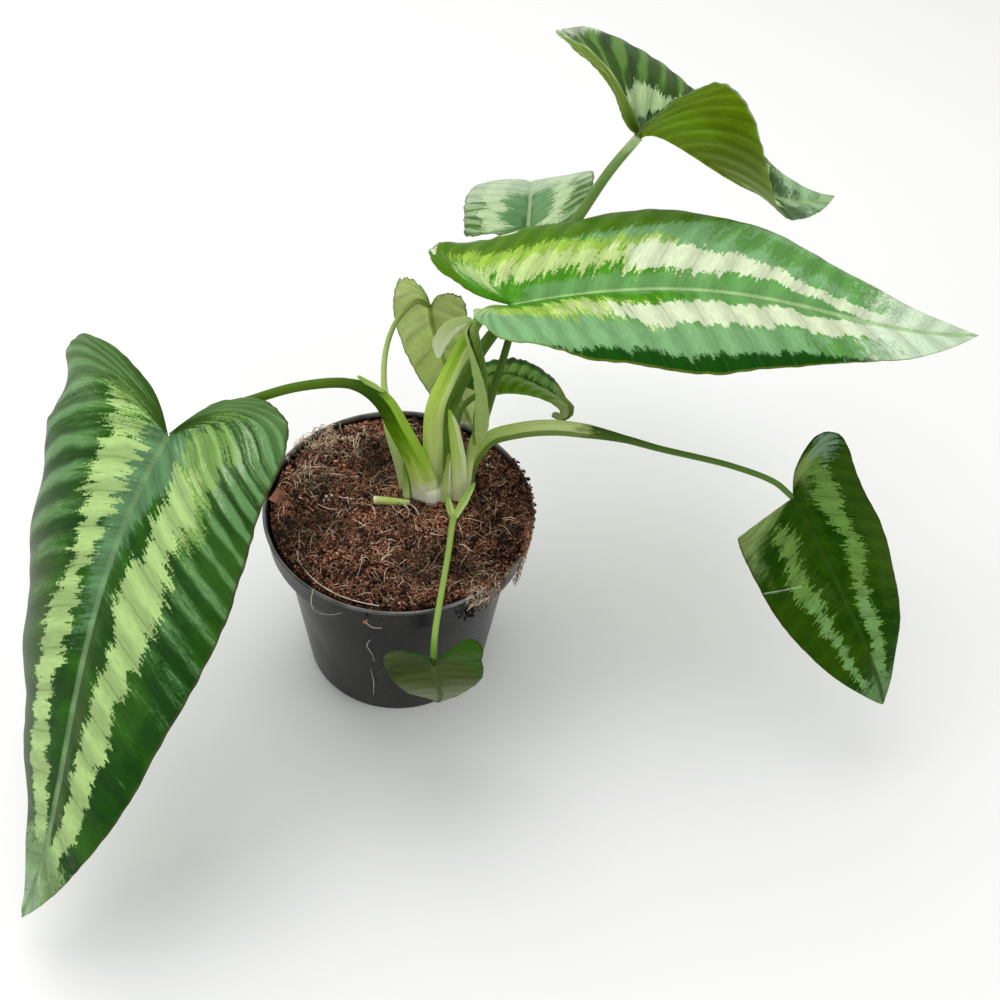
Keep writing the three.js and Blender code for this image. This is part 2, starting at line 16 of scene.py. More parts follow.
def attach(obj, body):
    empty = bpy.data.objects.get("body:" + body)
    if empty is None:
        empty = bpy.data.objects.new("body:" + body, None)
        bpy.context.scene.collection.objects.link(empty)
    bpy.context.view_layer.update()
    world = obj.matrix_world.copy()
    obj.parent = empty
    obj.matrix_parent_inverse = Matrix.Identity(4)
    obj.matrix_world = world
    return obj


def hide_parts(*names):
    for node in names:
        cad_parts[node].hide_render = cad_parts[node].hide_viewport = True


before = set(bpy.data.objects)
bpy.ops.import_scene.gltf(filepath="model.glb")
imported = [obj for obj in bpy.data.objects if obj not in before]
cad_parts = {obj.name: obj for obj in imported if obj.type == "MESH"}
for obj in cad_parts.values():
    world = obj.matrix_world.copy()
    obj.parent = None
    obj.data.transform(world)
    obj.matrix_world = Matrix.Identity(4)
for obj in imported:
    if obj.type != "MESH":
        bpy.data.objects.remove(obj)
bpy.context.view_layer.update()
MM = 0.001

# %% [markdown]
# ## Camera
#
# The picture looks down on the plant from its front. A camera matrix has the camera's own right, up and
# back directions as its columns. They follow from a yaw, a pitch and a small roll, which were read from the
# ellipses of the pot's rim and base.

# %% Camera
PLACE = np.array([0, -382.41, 530.9])
YAW, PITCH, ROLL = np.radians([6.64, 48.105, -5.337])
LENS, SENSOR_WIDTH = 46.8, 36

forward = np.array([math.sin(YAW) * math.cos(PITCH), math.cos(YAW) * math.cos(PITCH), -math.sin(PITCH)])
level = np.array([math.cos(YAW), -math.sin(YAW), 0])
down = np.cross(forward, level)
right = level * math.cos(ROLL) + down * math.sin(ROLL)
drop = down * math.cos(ROLL) - level * math.sin(ROLL)

camera = bpy.data.objects.new("camera", bpy.data.cameras.new("camera"))
camera.data.lens = LENS
camera.data.sensor_width = SENSOR_WIDTH
camera.matrix_world = Matrix.Translation(PLACE * MM) @ Matrix(np.stack([right, -drop, -forward], 1)).to_4x4()
bpy.context.scene.collection.objects.link(camera)
bpy.context.scene.camera = camera
print("camera looks down by", round(math.degrees(PITCH), 1), "degrees")

# %% [markdown]
# ## Light and floor
#
# The light is that of a white studio: a bright even sky, and large soft lamps that give the leaves a sheen
# but no hard shadow. The standard view transform keeps the floor near white.

# %% Light and floor
scene = bpy.context.scene
scene.view_settings.view_transform = "Standard"
scene.world = bpy.data.worlds.new("studio")
scene.world.use_nodes = True
sky = scene.world.node_tree.nodes["Background"]
sky.inputs["Color"].default_value = (1, 1, 1, 1)
sky.inputs["Strength"].default_value = 0.74
PLANT_MIDDLE = np.array([0.05, 0, 0.12])


def lamp(name, place, size, watts):
    """A square lamp at a place in metres that looks at the middle of the plant."""
    light = bpy.data.lights.new(name, "AREA")
    light.size = size
    light.energy = watts
    body = bpy.data.objects.new(name, light)
    back = np.array(place) - PLANT_MIDDLE
    back /= np.linalg.norm(back)
    side = np.cross([0, 1, 0.01], back)
    side /= np.linalg.norm(side)
    turn = Matrix(np.stack([side, np.cross(back, side), back], 1)).to_4x4()
    body.matrix_world = Matrix.Translation(place) @ turn
    scene.collection.objects.link(body)


lamp("overhead", (-0.25, 0.35, 1.15), size=0.9, watts=5.5)
lamp("left", (-1.0, -0.35, 0.75), size=0.7, watts=2.6)
lamp("right", (0.95, -0.4, 0.8), size=0.7, watts=1.6)


def shade(red, green, blue):
    """A colour given as the screen shows it, from 0 to 255, as the light it stands for."""
    part = np.array([red, green, blue]) / 255
    part = np.where(part < 0.04045, part / 12.92, ((part + 0.055) / 1.055) ** 2.4)
    return (*part.tolist(), 1)


FLOOR_HALF = 6
floor_corners = [(x * FLOOR_HALF, y * FLOOR_HALF, 0) for x, y in ((-1, -1), (1, -1), (1, 1), (-1, 1))]
floor_mesh = bpy.data.meshes.new("floor")
floor_mesh.from_pydata(floor_corners, [], [(0, 1, 2, 3)])
floor = bpy.data.objects.new("floor", floor_mesh)
scene.collection.objects.link(floor)
paper = bpy.data.materials.new("pale_floor")
paper.use_nodes = True
paper_surface = paper.node_tree.nodes["Principled BSDF"]
paper_surface.inputs["Base Color"].default_value = shade(246, 246, 245)
paper_surface.inputs["Roughness"].default_value = 0.9
floor_mesh.materials.append(paper)
print("floor:", 2 * FLOOR_HALF, "m wide; sky strength:", round(sky.inputs["Strength"].default_value, 2))

# %% [markdown]
# ## From a grid of points to a mesh
#
# Leaf, stalk, pot and mix are all grids: a place for each pair of numbers. A grid can be open, or close on
# itself in its second direction as a tube does. The faces need no loop, because the corner numbers of all
# faces are four shifted copies of one table. Equal corners at a tip or a pole are merged afterwards.

# %% From a grid of points to a mesh
MERGE_WITHIN, NO_LENGTH = 2e-6, 1e-7


def grid_faces(rows, columns, ring=False):
    """Corner numbers of a grid's faces: each square's own, right, upper right and upper one."""
    number = np.arange(rows * columns).reshape(rows, columns)
    if ring:
        number = np.concatenate([number, number[:, :1]], 1)
    return np.stack([number[:-1, :-1], number[:-1, 1:], number[1:, 1:], number[1:, :-1]], -1).reshape(-1, 4)


def ring_faces(points):
    """The faces of a grid whose rows are rings, each closed on itself."""
    return grid_faces(*points.shape[:2], ring=True)


def piece(name, points, faces, material, marks, node, smooth=True):
    """A finished mesh from points in millimetres, with a value of each mark kept at each point."""
    mesh = bpy.data.meshes.new(name)
    mesh.from_pydata((points.reshape(-1, 3) * MM).tolist(), [], faces.tolist())
    for mark, values in marks.items():
        is_vector = values.ndim > 1 and values.shape[-1] == 3
        kind, field = ("FLOAT_VECTOR", "vector") if is_vector else ("FLOAT", "value")
        mesh.attributes.new(mark, kind, "POINT").data.foreach_set(field, values.astype(np.float32).ravel())
    shape = bmesh.new()
    shape.from_mesh(mesh)
    bmesh.ops.remove_doubles(shape, verts=shape.verts, dist=MERGE_WITHIN)
    bmesh.ops.dissolve_degenerate(shape, dist=NO_LENGTH, edges=shape.edges)
    shape.to_mesh(mesh)
    shape.free()
    if smooth:
        mesh.shade_smooth()
    mesh.materials.append(material)
    body = bpy.data.objects.new(name, mesh)
    scene.collection.objects.link(body)
    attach(body, "root")
    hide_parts(node)
    print(name, "triangles:", sum(len(p.vertices) - 2 for p in mesh.polygons))
    return body


# %% [markdown]
# ## Smooth curves
#
# A midrib is a Bezier curve, walked at an even pace, and a leaf's outline and a stalk's route are splines
# that pass through given points. The centripetal spline doesn't overshoot where two points lie close
# together.

# %% Smooth curves
LENGTH_STEPS = 201


def unit(v):
    """Each vector divided by its length."""
    return v / np.linalg.norm(v, axis=-1, keepdims=True)


def bezier(points, t):
    """Place and direction on a cubic Bezier curve: four points weighted by powers of 1 - t and of t."""
    a, b, c, d = points
    t = t[..., None]
    place = (1 - t) ** 3 * a + 3 * t * (1 - t) ** 2 * b + 3 * t * t * (1 - t) * c + t**3 * d
    slope = (1 - t) ** 2 * (b - a) + 2 * t * (1 - t) * (c - b) + t * t * (d - c)
    return place, unit(slope)


def midrib_at(points, share):
    """Place and direction at a share of a curve's length, and the length, from a table of distances run."""
    t = np.linspace(0, 1, LENGTH_STEPS)
    place, _ = bezier(points, t)
    run = np.append(0, np.cumsum(np.linalg.norm(np.diff(place, axis=0), axis=1)))
    return *bezier(points, np.interp(share * run[-1], run, t)), run[-1]


def cubic(b, c, leave, arrive, w):
    """The cubic curve from b to c at the share w, which leaves b and arrives at c with the given slopes."""
    return b + w * (leave + w * (3 * (c - b) - 2 * leave - arrive + w * (2 * (b - c) + leave + arrive)))


def even_spline(points, t):
    """A spline through points at even steps of t: its slope at each is half the chord of its neighbours."""
    last = len(points) - 1
    step = np.clip(t, 0, 1) * last
    i = np.minimum(step.astype(int), last - 1)
    w = (step - i)[..., None]
    a, b, c, d = (points[np.clip(i + k, 0, last)] for k in (-1, 0, 1, 2))
    return cubic(b, c, (c - a) / 2, (d - b) / 2, w)


def route_at(points, t):
    """A centripetal spline: as above, but each chord is first divided by the root of its length."""
    last = len(points) - 1
    ends = np.concatenate([[2 * points[0] - points[1]], points, [2 * points[-1] - points[-2]]])
    step = np.clip(t, 0, 1) * last
    i = np.minimum(step.astype(int), last - 1)
    w = (step - i)[..., None]
    a, b, c, d = (ends[i + k] for k in range(4))
    p, q, r = (np.sqrt(np.linalg.norm(y - x, axis=-1, keepdims=True)) for x, y in ((a, b), (b, c), (c, d)))
    leave = ((b - a) / p - (c - a) / (p + q) + (c - b) / q) * q
    arrive = ((c - b) / q - (d - b) / (q + r) + (d - c) / r) * q
    return cubic(b, c, leave, arrive, w)


# %% [markdown]
# ## The form of a blade
#
# A blade is heart-shaped: two rounded lobes behind the stalk and a long tip before it. Each half is given
# by an outline in its flat state. Two numbers say where a point lies: u runs along the outline, from the
# notch round the lobe to the tip, and s runs from the midrib to the margin. The flat blade then bends along
# its midrib, folds up from it, curls towards its margin, and lifts its lobes. A sculpted sheet would look
# as good, but a formula lets every leaf be the same plant's leaf with other numbers.

# %% The form of a blade
HALF_OUTLINE = np.array([(0, 0), (-0.58, 0.17), (-1, 0.5), (-0.72, 0.86), (0.08, 1),
                         (0.34, 0.97), (0.62, 0.66), (0.84, 0.27), (1, 0)])
FAN, FAN_POWER = 0.34, 1.15
NEARLY_FLAT = 0.001


def half_outline(half, taper, length):
    """The outline's shares times the length, the lobe's length where they are negative, and the width."""
    sinus, shoulder = half["sinus"], half["shoulder"]
    full = np.array([1, sinus, sinus, (sinus + shoulder) / 2, shoulder, 1, taper, taper, 1])
    along = HALF_OUTLINE[:, 0] * np.where(HALF_OUTLINE[:, 0] < 0, half["lobe"], length)
    return np.stack([along, HALF_OUTLINE[:, 1] * half["width"] * full], 1)


def on_blade(leaf, side, u, s):
    """Place, upward normal and distance from the midrib of points on one half of a blade.

    A flat place (x along, y out) goes to the midrib's point at x, plus an arc in y that starts at the
    fold's angle and turns at an even rate by the curl, plus an arc backwards that lifts the lobe where x is
    negative.
    """
    half = leaf["right"] if side > 0 else leaf["left"]
    midrib, face = np.array(leaf["midrib"], float), unit(np.array(leaf["face"], float))
    length = midrib_at(midrib, np.zeros(1))[2]
    edge = even_spline(half_outline(half, leaf["taper"], length), u)
    foot = length * (np.clip(u - FAN, 0, None) / (1 - FAN)) ** FAN_POWER
    x = foot + (edge[..., 0] - foot) * s
    y = edge[..., 1] * s
    share = np.clip(x / length, 0, 1)
    centre, along, _ = midrib_at(midrib, share)
    up = face[0] + (face[1] - face[0]) * share[..., None]
    up = unit(up - (up * along).sum(-1, keepdims=True) * along)
    out = np.cross(along, up) * side
    fold = np.radians(half["fold"][0] + (half["fold"][1] - half["fold"][0]) * share)
    curl = np.radians(half["curl"] or NEARLY_FLAT) / half["width"]
    angle = fold + curl * y
    lift = np.radians(half["lift"] or NEARLY_FLAT) / half["lobe"]
    turn = lift * np.clip(-x, 0, None)
    place = centre + out * ((np.sin(angle) - np.sin(fold)) / curl)[..., None]
    place += up * ((np.cos(fold) - np.cos(angle)) / curl + (1 - np.cos(turn)) / lift)[..., None]
    place -= along * (np.sin(turn) / lift)[..., None]
    tilt = np.where(y > 0, angle, 0)
    normal = up * (np.cos(tilt) * np.cos(turn))[..., None] - out * np.sin(tilt)[..., None]
    normal = unit(normal + along * (np.sin(turn) * np.cos(tilt))[..., None])
    ripple = leaf["wave"] * np.sin(2 * np.pi * leaf["waves"] * u + side) * s**3 * np.sin(np.pi * u)
    return place + normal * ripple[..., None], normal, y


# %% [markdown]
# ## The leaves' sizes
#
# Each leaf has four points that its midrib's curve is drawn from, insertion first, the way its upper side
# looks at both ends, and for each half, as seen walking along the midrib, its width, lobe, folds and curls.
# Sinus, shoulder and taper make the outline fuller or slimmer at the back, in the middle and towards the
# tip. Wave, quilt and frill say how much the blade ripples, bulges and crinkles, and bow how far its veins
# bend.

# %% The leaves' sizes
LEAVES = {
    "left": {
        "midrib": [[-92, -14, 154], [-128, -88, 126], [-119, -139, 84], [-150, -153, 20]],
        "face": [[-0.6, -0.7, 0.45], [-0.8, -0.5, 0.4]],
        "right": dict(width=71, lobe=35, sinus=1.6, shoulder=1.1, fold=[22, -5], curl=-50, lift=50),
        "left": dict(width=59, lobe=26, sinus=0.95, shoulder=0.9, fold=[5, 5], curl=-45, lift=0),
        "taper": 1, "waves": 9, "wave": 1, "rows": 300, "columns": 44, "veins": 20, "quilt": 0.65,
        "frill": 0.8, "bow": {-1: 0.4, 1: 0.17},
    },
    "right": {
        "midrib": [[46, 23, 194], [150, 37, 211], [176, 7, 191], [250, 35, 172]],
        "face": [[-0.3, 0.2, 0.93], [0.05, -0.33, 0.94]],
        "right": dict(width=55, lobe=19, sinus=0.8, shoulder=1.05, fold=[25, 0], curl=-30, lift=25),
        "left": dict(width=58, lobe=30, sinus=1.05, shoulder=0.95, fold=[25, 5], curl=-38, lift=20),
        "taper": 0.77, "waves": 9, "wave": 0.6, "rows": 300, "columns": 44, "veins": 22, "quilt": 0.4,
        "frill": 0.9, "bow": {-1: 0.26, 1: 0.16},
    },
    "top": {
        "midrib": [[100, 95, 228], [118, 122, 221], [165, 105, 173], [209, 137, 171]],
        "face": [[0.75, -0.45, 0.5], [-0.4, -0.35, 0.85]],
        "right": dict(width=42, lobe=16, sinus=0.8, shoulder=1, fold=[120, 0], curl=-15, lift=0),
        "left": dict(width=59, lobe=37, sinus=1.1, shoulder=1, fold=[15, 5], curl=-78, lift=40),
        "taper": 0.87, "waves": 6, "wave": 0.9, "rows": 240, "columns": 36, "veins": 18, "quilt": 0.55,
        "frill": 1.2, "bow": {-1: 0.3, 1: 0.3},
    },
    "back": {
        "midrib": [[60, 122, 160], [63, 149, 161], [65, 170, 156], [68, 202, 128]],
        "face": [[-0.3, -0.05, 0.95], [0.05, 0.1, 1]],
        "right": dict(width=33, lobe=21, sinus=1, shoulder=1, fold=[25, 5], curl=-10, lift=5),
        "left": dict(width=33, lobe=13, sinus=1.05, shoulder=0.95, fold=[20, 5], curl=-25, lift=35),
        "taper": 1, "waves": 5, "wave": 0.7, "rows": 150, "columns": 28, "veins": 15, "quilt": 0.35,
        "frill": 1.6, "bow": {-1: 0.22, 1: 0.22},
    },
    "low_right": {
        "midrib": [[171, -12, 118], [181, -33, 110], [203, -73, 85], [220, -68, 40]],
        "face": [[-0.3, -0.8, 0.5], [0.3, -0.77, 0.57]],
        "right": dict(width=32.5, lobe=-4, sinus=1.25, shoulder=1, fold=[5, 5], curl=-30, lift=0),
        "left": dict(width=28, lobe=18.5, sinus=1.6, shoulder=1.02, fold=[10, 0], curl=-35, lift=5),
        "taper": 1.05, "waves": 6, "wave": 0.7, "rows": 190, "columns": 30, "veins": 17, "quilt": 0.4,
        "frill": 0.5, "bow": {-1: 0.26, 1: 0.26},
    },
    "young": {
        "midrib": [[13, 58, 164], [13, 67, 137], [32, 48, 109], [36, 64, 81]],
        "face": [[0.2, 0.95, 0.15], [-0.1, 1, -0.05]],
        "right": dict(width=16, lobe=17, sinus=1.05, shoulder=1, fold=[10, 8], curl=-10, lift=-30),
        "left": dict(width=17, lobe=16, sinus=1.05, shoulder=1, fold=[10, 5], curl=-15, lift=0),
        "taper": 1.1, "waves": 4, "wave": 0.4, "rows": 130, "columns": 22, "veins": 9, "quilt": 0.9,
        "frill": 2.2, "bow": {-1: 0.26, 1: 0.26},
    },
    "small": {
        "midrib": [[41, 35, 134], [51, 36, 138], [79, 33, 131], [72, 32, 119]],
        "face": [[0.1, 0.1, 1], [-0.35, 0.05, 0.95]],
        "right": dict(width=20, lobe=7, sinus=0.8, shoulder=0.95, fold=[75, 40], curl=-20, lift=0),
        "left": dict(width=20, lobe=12, sinus=1, shoulder=0.95, fold=[20, 5], curl=-15, lift=0),
        "taper": 1.2, "waves": 4, "wave": 0.5, "rows": 130, "columns": 22, "veins": 12, "quilt": 0.6,
        "frill": 1.6, "bow": {-1: 0.26, 1: 0.26},
    },
    "front": {
        "midrib": [[14, -84, 99], [12, -79, 89], [22, -79, 61], [17, -62, 36]],
        "face": [[0, 0.9, 0.42], [-0.1, 0.9, -0.42]],
        "right": dict(width=20, lobe=19, sinus=1, shoulder=1, fold=[10, 5], curl=-15, lift=30),
        "left": dict(width=20, lobe=16, sinus=1, shoulder=1, fold=[10, 10], curl=-5, lift=-12),
        "taper": 1, "waves": 4, "wave": 0.5, "rows": 130, "columns": 24, "veins": 12, "quilt": 0.15,
        "frill": 0.8, "bow": {-1: 0.24, 1: 0.24},
    },
}
for name, leaf in LEAVES.items():
    midrib_length = float(midrib_at(np.array(leaf["midrib"], float), np.zeros(1))[2])
    print(name, "midrib:", round(midrib_length), "mm")

# %% [markdown]
# ## Veins, quilting and a crinkled margin
#
# A real blade isn't smooth. It is sunk along the midrib and along each lateral vein, bulges between them,
# and its margin is finely crinkled. A lateral vein leaves the midrib and bows towards the tip, so the
# number that counts the veins is u less a share of s. All of this is pushed along the normal of the smooth
# blade.

# %% Veins, quilting and a crinkled margin
THICKNESS = 0.6
MIDRIB_SINK, MIDRIB_WIDTH, RIB_HEIGHT, VEIN_HEIGHT = 0.7, 1.3, 1.3, 0.12


def vein_number(leaf, u, s):
    """u less a bow that fades towards the tip, so that its steps run along the lateral veins."""
    bow = np.where(s < 0, leaf["bow"][-1], leaf["bow"][1])
    out = np.abs(s)
    return u - bow * np.clip((0.78 - u) / 0.35, 0, 1) * (0.75 * out + 0.25 * out**2)


def relief(leaf, side, u, s, y):
    """Height above the smooth blade: bulges between veins, a sunk midrib and a crinkled margin."""
    v = vein_number(leaf, u, s * side)
    swell = np.abs(np.sin(np.pi * leaf["veins"] * v)) ** 0.8 - 0.6
    inside = np.clip(s / 0.2, 0, 1) * np.clip((1 - s) / 0.12, 0, 1)
    uneven = 1 + 0.5 * np.sin(9 * u + 5 * s + side)
    groove = -MIDRIB_SINK * np.exp(-((y / MIDRIB_WIDTH) ** 2)) * (1 - 0.6 * u)
    crinkle = np.sin(140 * u + 3 * np.sin(41 * u)) + 0.6 * np.sin(93 * u + side)
    height = leaf["quilt"] * swell * inside * uneven + groove
    return height + 0.25 * leaf["frill"] * crinkle * s**6 * np.sin(np.pi * u**0.6)


def ragged(leaf, side, u, s):
    """s with small notches and bumps at the margin, so that the outline isn't a smooth curve."""
    bumps = np.sin(211 * u + 2 * np.sin(37 * u)) + 0.7 * np.sin(97 * u + 2 * side) + 0.5 * np.sin(389 * u)
    return s * (1 + 0.004 * leaf["frill"] * bumps * s**8)


# %% [markdown]
# ## From a formula to a closed sheet
#
# A real blade is a fraction of a millimetre thick, with a rib under its midrib. A Solidify modifier could
# give a single sheet its thickness, but the same one everywhere. Here the upper and the lower side are one
# grid pushed both ways along the normal and joined at the margin, so that the sheet can thin out there and
# carry its ribs below.

# %% From a formula to a closed sheet
def blade_piece(name, leaf, material, bands):
    """A blade as one ring of columns for each row of the outline, over the upper side and back under it.

    The sheet is thickest at the midrib and thins out to nothing at the margin. A round rib runs under the
    midrib, and a slight one under each lateral vein.
    """
    columns = leaf["columns"]
    across = np.linspace(0, 1, columns + 1) ** 1.3
    signed = np.concatenate([-across[::-1], across[1:]])
    u, s = np.meshgrid(np.linspace(0, 1, leaf["rows"] + 1), signed, indexing="ij")
    place, normal = np.zeros((*u.shape, 3)), np.zeros((*u.shape, 3))
    y, high = np.zeros(u.shape), np.zeros(u.shape)
    for side, part in ((-1, slice(0, columns)), (1, slice(columns, None))):
        out = np.abs(s[:, part])
        half = u[:, part], ragged(leaf, side, u[:, part], out)
        place[:, part], normal[:, part], y[:, part] = on_blade(leaf, side, *half)
        high[:, part] = relief(leaf, side, u[:, part], out, y[:, part])
    place += normal * high[..., None]
    reach = np.clip((u - FAN) / (1 - FAN), 0, 1)
    thick = THICKNESS / 2 * np.sqrt(np.clip(1 - s**4, 0, 1))
    rib = RIB_HEIGHT * (1 - 0.8 * reach) * np.exp(-((y / (MIDRIB_WIDTH - 0.6 * reach)) ** 2))
    rib *= u > FAN * 0.9
    number = vein_number(leaf, u, s)
    laterals = VEIN_HEIGHT * np.exp(-((np.sin(np.pi * leaf["veins"] * number) / 0.18) ** 2))
    laterals *= np.clip((1 - np.abs(s)) / 0.3, 0, 1)
    upper = place + normal * thick[..., None]
    lower = place - normal * (thick + rib + laterals)[..., None]
    inner = slice(1, -1)
    ring = np.concatenate([upper, lower[:, inner][:, ::-1]], 1)
    over = lambda values: np.concatenate([values, values[:, inner][:, ::-1]], 1)
    top = np.concatenate([np.ones(u.shape), np.zeros(u[:, inner].shape)], 1)
    marks = {
        "streak": np.stack([over(number), over(s), top], -1).reshape(-1, 3),
        "from_midrib": over(y),
    }
    for mark, values in bands(u, s).items():
        marks[mark] = over(values)
    return piece(f"{name}_leaf_blade", ring, ring_faces(ring), material, marks, node=f"{name}_blade")


# %% [markdown]
# ## Painting a variegated leaf
#
# The pale bands of this plant have torn edges, because the colour changes cell row by cell row along the
# veins. So a stripe is kept as a depth: how far inside its two edges a point lies, with a jump from each
# vein to the next. The material adds noise that is stretched along the veins to that depth, and cuts it off
# at zero. That keeps the torn edge sharp at any size, which a painted picture would not. The strips between
# the veins catch the light on their crests, so a layer can follow the crests, as painted highlights do.

# %% Painting a variegated leaf
JUMPS, FIRST_STRIP, LAST_STRIP = 200, -20, 150


def stripe(stations, u, s):
    """The least distance to a stripe's two edges, which run from station to station, and its two ends."""
    where, inner, outer = np.array(stations, float).T
    ends = 2 * np.minimum(u - where[0], where[-1] - u)
    return np.minimum(np.minimum(s - np.interp(u, where, inner), np.interp(u, where, outer) - s), ends)


def stripes_of(layers, leaf, seed):
    """A function that gives each layer's depth over a blade, from its stations on the left and right."""
    jump = np.random.default_rng(seed).uniform(-0.5, 0.5, (2, JUMPS))

    def depths(u, s):
        """Each layer's depth, after every strip between two veins is moved by a jump of its own."""
        out = np.abs(s)
        strip = np.floor(vein_number(leaf, u, s) * leaf["veins"]).astype(int)
        strip = np.clip(strip, FIRST_STRIP, LAST_STRIP) - FIRST_STRIP
        marks = {}
        for layer in layers:
            moved = out + layer.get("jump", 0.1) * jump[(s < 0).astype(int), strip]
            on_left, on_right = (stripe(layer[half], u, moved) for half in ("left", "right"))
            marks[layer["mark"]] = np.where(s < 0, on_left, on_right)
        return marks

    return depths


# %% [markdown]
# ## Shader nodes as short functions
#
# A material is a tree of nodes, and each node takes a few steps: make it, set it, link it. These functions
# take the steps once, so that a finish further on reads like a recipe. The trees could be joined by hand in
# the shader editor, but then each leaf's would have to be joined again.

# %% Shader nodes as short functions
def add_node(tree, kind, inputs=None, **settings):
    """A shader node with its settings, and with its inputs given as numbers or as another node's output."""
    node = tree.nodes.new(kind)
    for name, value in settings.items():
        setattr(node, name, value)
    for name, value in (inputs or {}).items():
        if isinstance(value, bpy.types.NodeSocket):
            tree.links.new(value, node.inputs[name])
        else:
            node.inputs[name].default_value = value
    return node


def calc(tree, operation, first, second=0.0, third=0.0):
    """One sum on numbers or outputs."""
    inputs = {0: first, 1: second, 2: third}
    return add_node(tree, "ShaderNodeMath", inputs, operation=operation).outputs[0]


def swayed(tree, base, value, strength):
    """The base, plus the strength times how far a value lies from a half."""
    return calc(tree, "MULTIPLY_ADD", calc(tree, "SUBTRACT", value, 0.5), strength, base)


def wave(tree, value, pace):
    """How far the sine of a value times its pace lies from zero."""
    return calc(tree, "ABSOLUTE", calc(tree, "SINE", calc(tree, "MULTIPLY", value, pace)))


def ramp(tree, value, low, high, start=0.0, end=1.0):
    """A value's way from low to high, as a number from start to end, with soft ends."""
    inputs = {"Value": value, "From Min": low, "From Max": high, "To Min": start, "To Max": end}
    return add_node(tree, "ShaderNodeMapRange", inputs, interpolation_type="SMOOTHSTEP").outputs["Result"]


def blend(tree, share, under, over, kind="MIX"):
    """The under colour, with a share of the over colour laid on it."""
    inputs = {"Factor": share, "A": under, "B": over}
    return add_node(tree, "ShaderNodeMix", inputs, data_type="RGBA", blend_type=kind).outputs["Result"]


def noise(tree, place, scale, detail=2.0, roughness=0.5):
    """A cloudy value round a half that changes smoothly with the place."""
    inputs = {"Vector": place, "Scale": scale, "Detail": detail, "Roughness": roughness}
    return add_node(tree, "ShaderNodeTexNoise", inputs).outputs["Fac"]


def stretched(tree, place, factors):
    """A place multiplied by one factor for each axis."""
    inputs = {0: place, 1: factors}
    return add_node(tree, "ShaderNodeVectorMath", inputs, operation="MULTIPLY").outputs["Vector"]


def attribute(tree, mark, output="Fac"):
    """A mark that the mesh keeps at each point."""
    return add_node(tree, "ShaderNodeAttribute", attribute_name=mark).outputs[output]


def toned(tree, colour, value, strength):
    """A colour made lighter or darker by how far a value lies from a half."""
    tone = swayed(tree, 1, value, strength)
    grey = add_node(tree, "ShaderNodeCombineColor", {0: tone, 1: tone, 2: tone}).outputs["Color"]
    return blend(tree, 1.0, colour, grey, "MULTIPLY")


def new_material(name, rough, shine=0.3):
    """A material with its node tree and main shader, whose roughness and mirror strength are set."""
    material = bpy.data.materials.new(name)
    material.use_nodes = True
    surface = material.node_tree.nodes["Principled BSDF"]
    surface.inputs["Roughness"].default_value = rough
    surface.inputs["Specular IOR Level"].default_value = shine
    return material, material.node_tree, surface


def finish_surface(tree, surface, colour, height, strength, distance):
    """Gives the shader its colour, and a relief of that height."""
    tree.links.new(colour, surface.inputs["Base Color"])
    bump = add_node(tree, "ShaderNodeBump", {"Strength": strength, "Distance": distance, "Height": height})
    tree.links.new(bump.outputs["Normal"], surface.inputs["Normal"])


# %% [markdown]
# ## The skin of a leaf
#
# A leaf's skin is a clouded green ground with paler and darker areas on it, then veins, midrib and margin.
# Each layer covers the ones before it where its depth plus torn noise is above zero. One recipe serves all
# eight leaves, because they differ in numbers alone: colours, stations, widths and strengths.

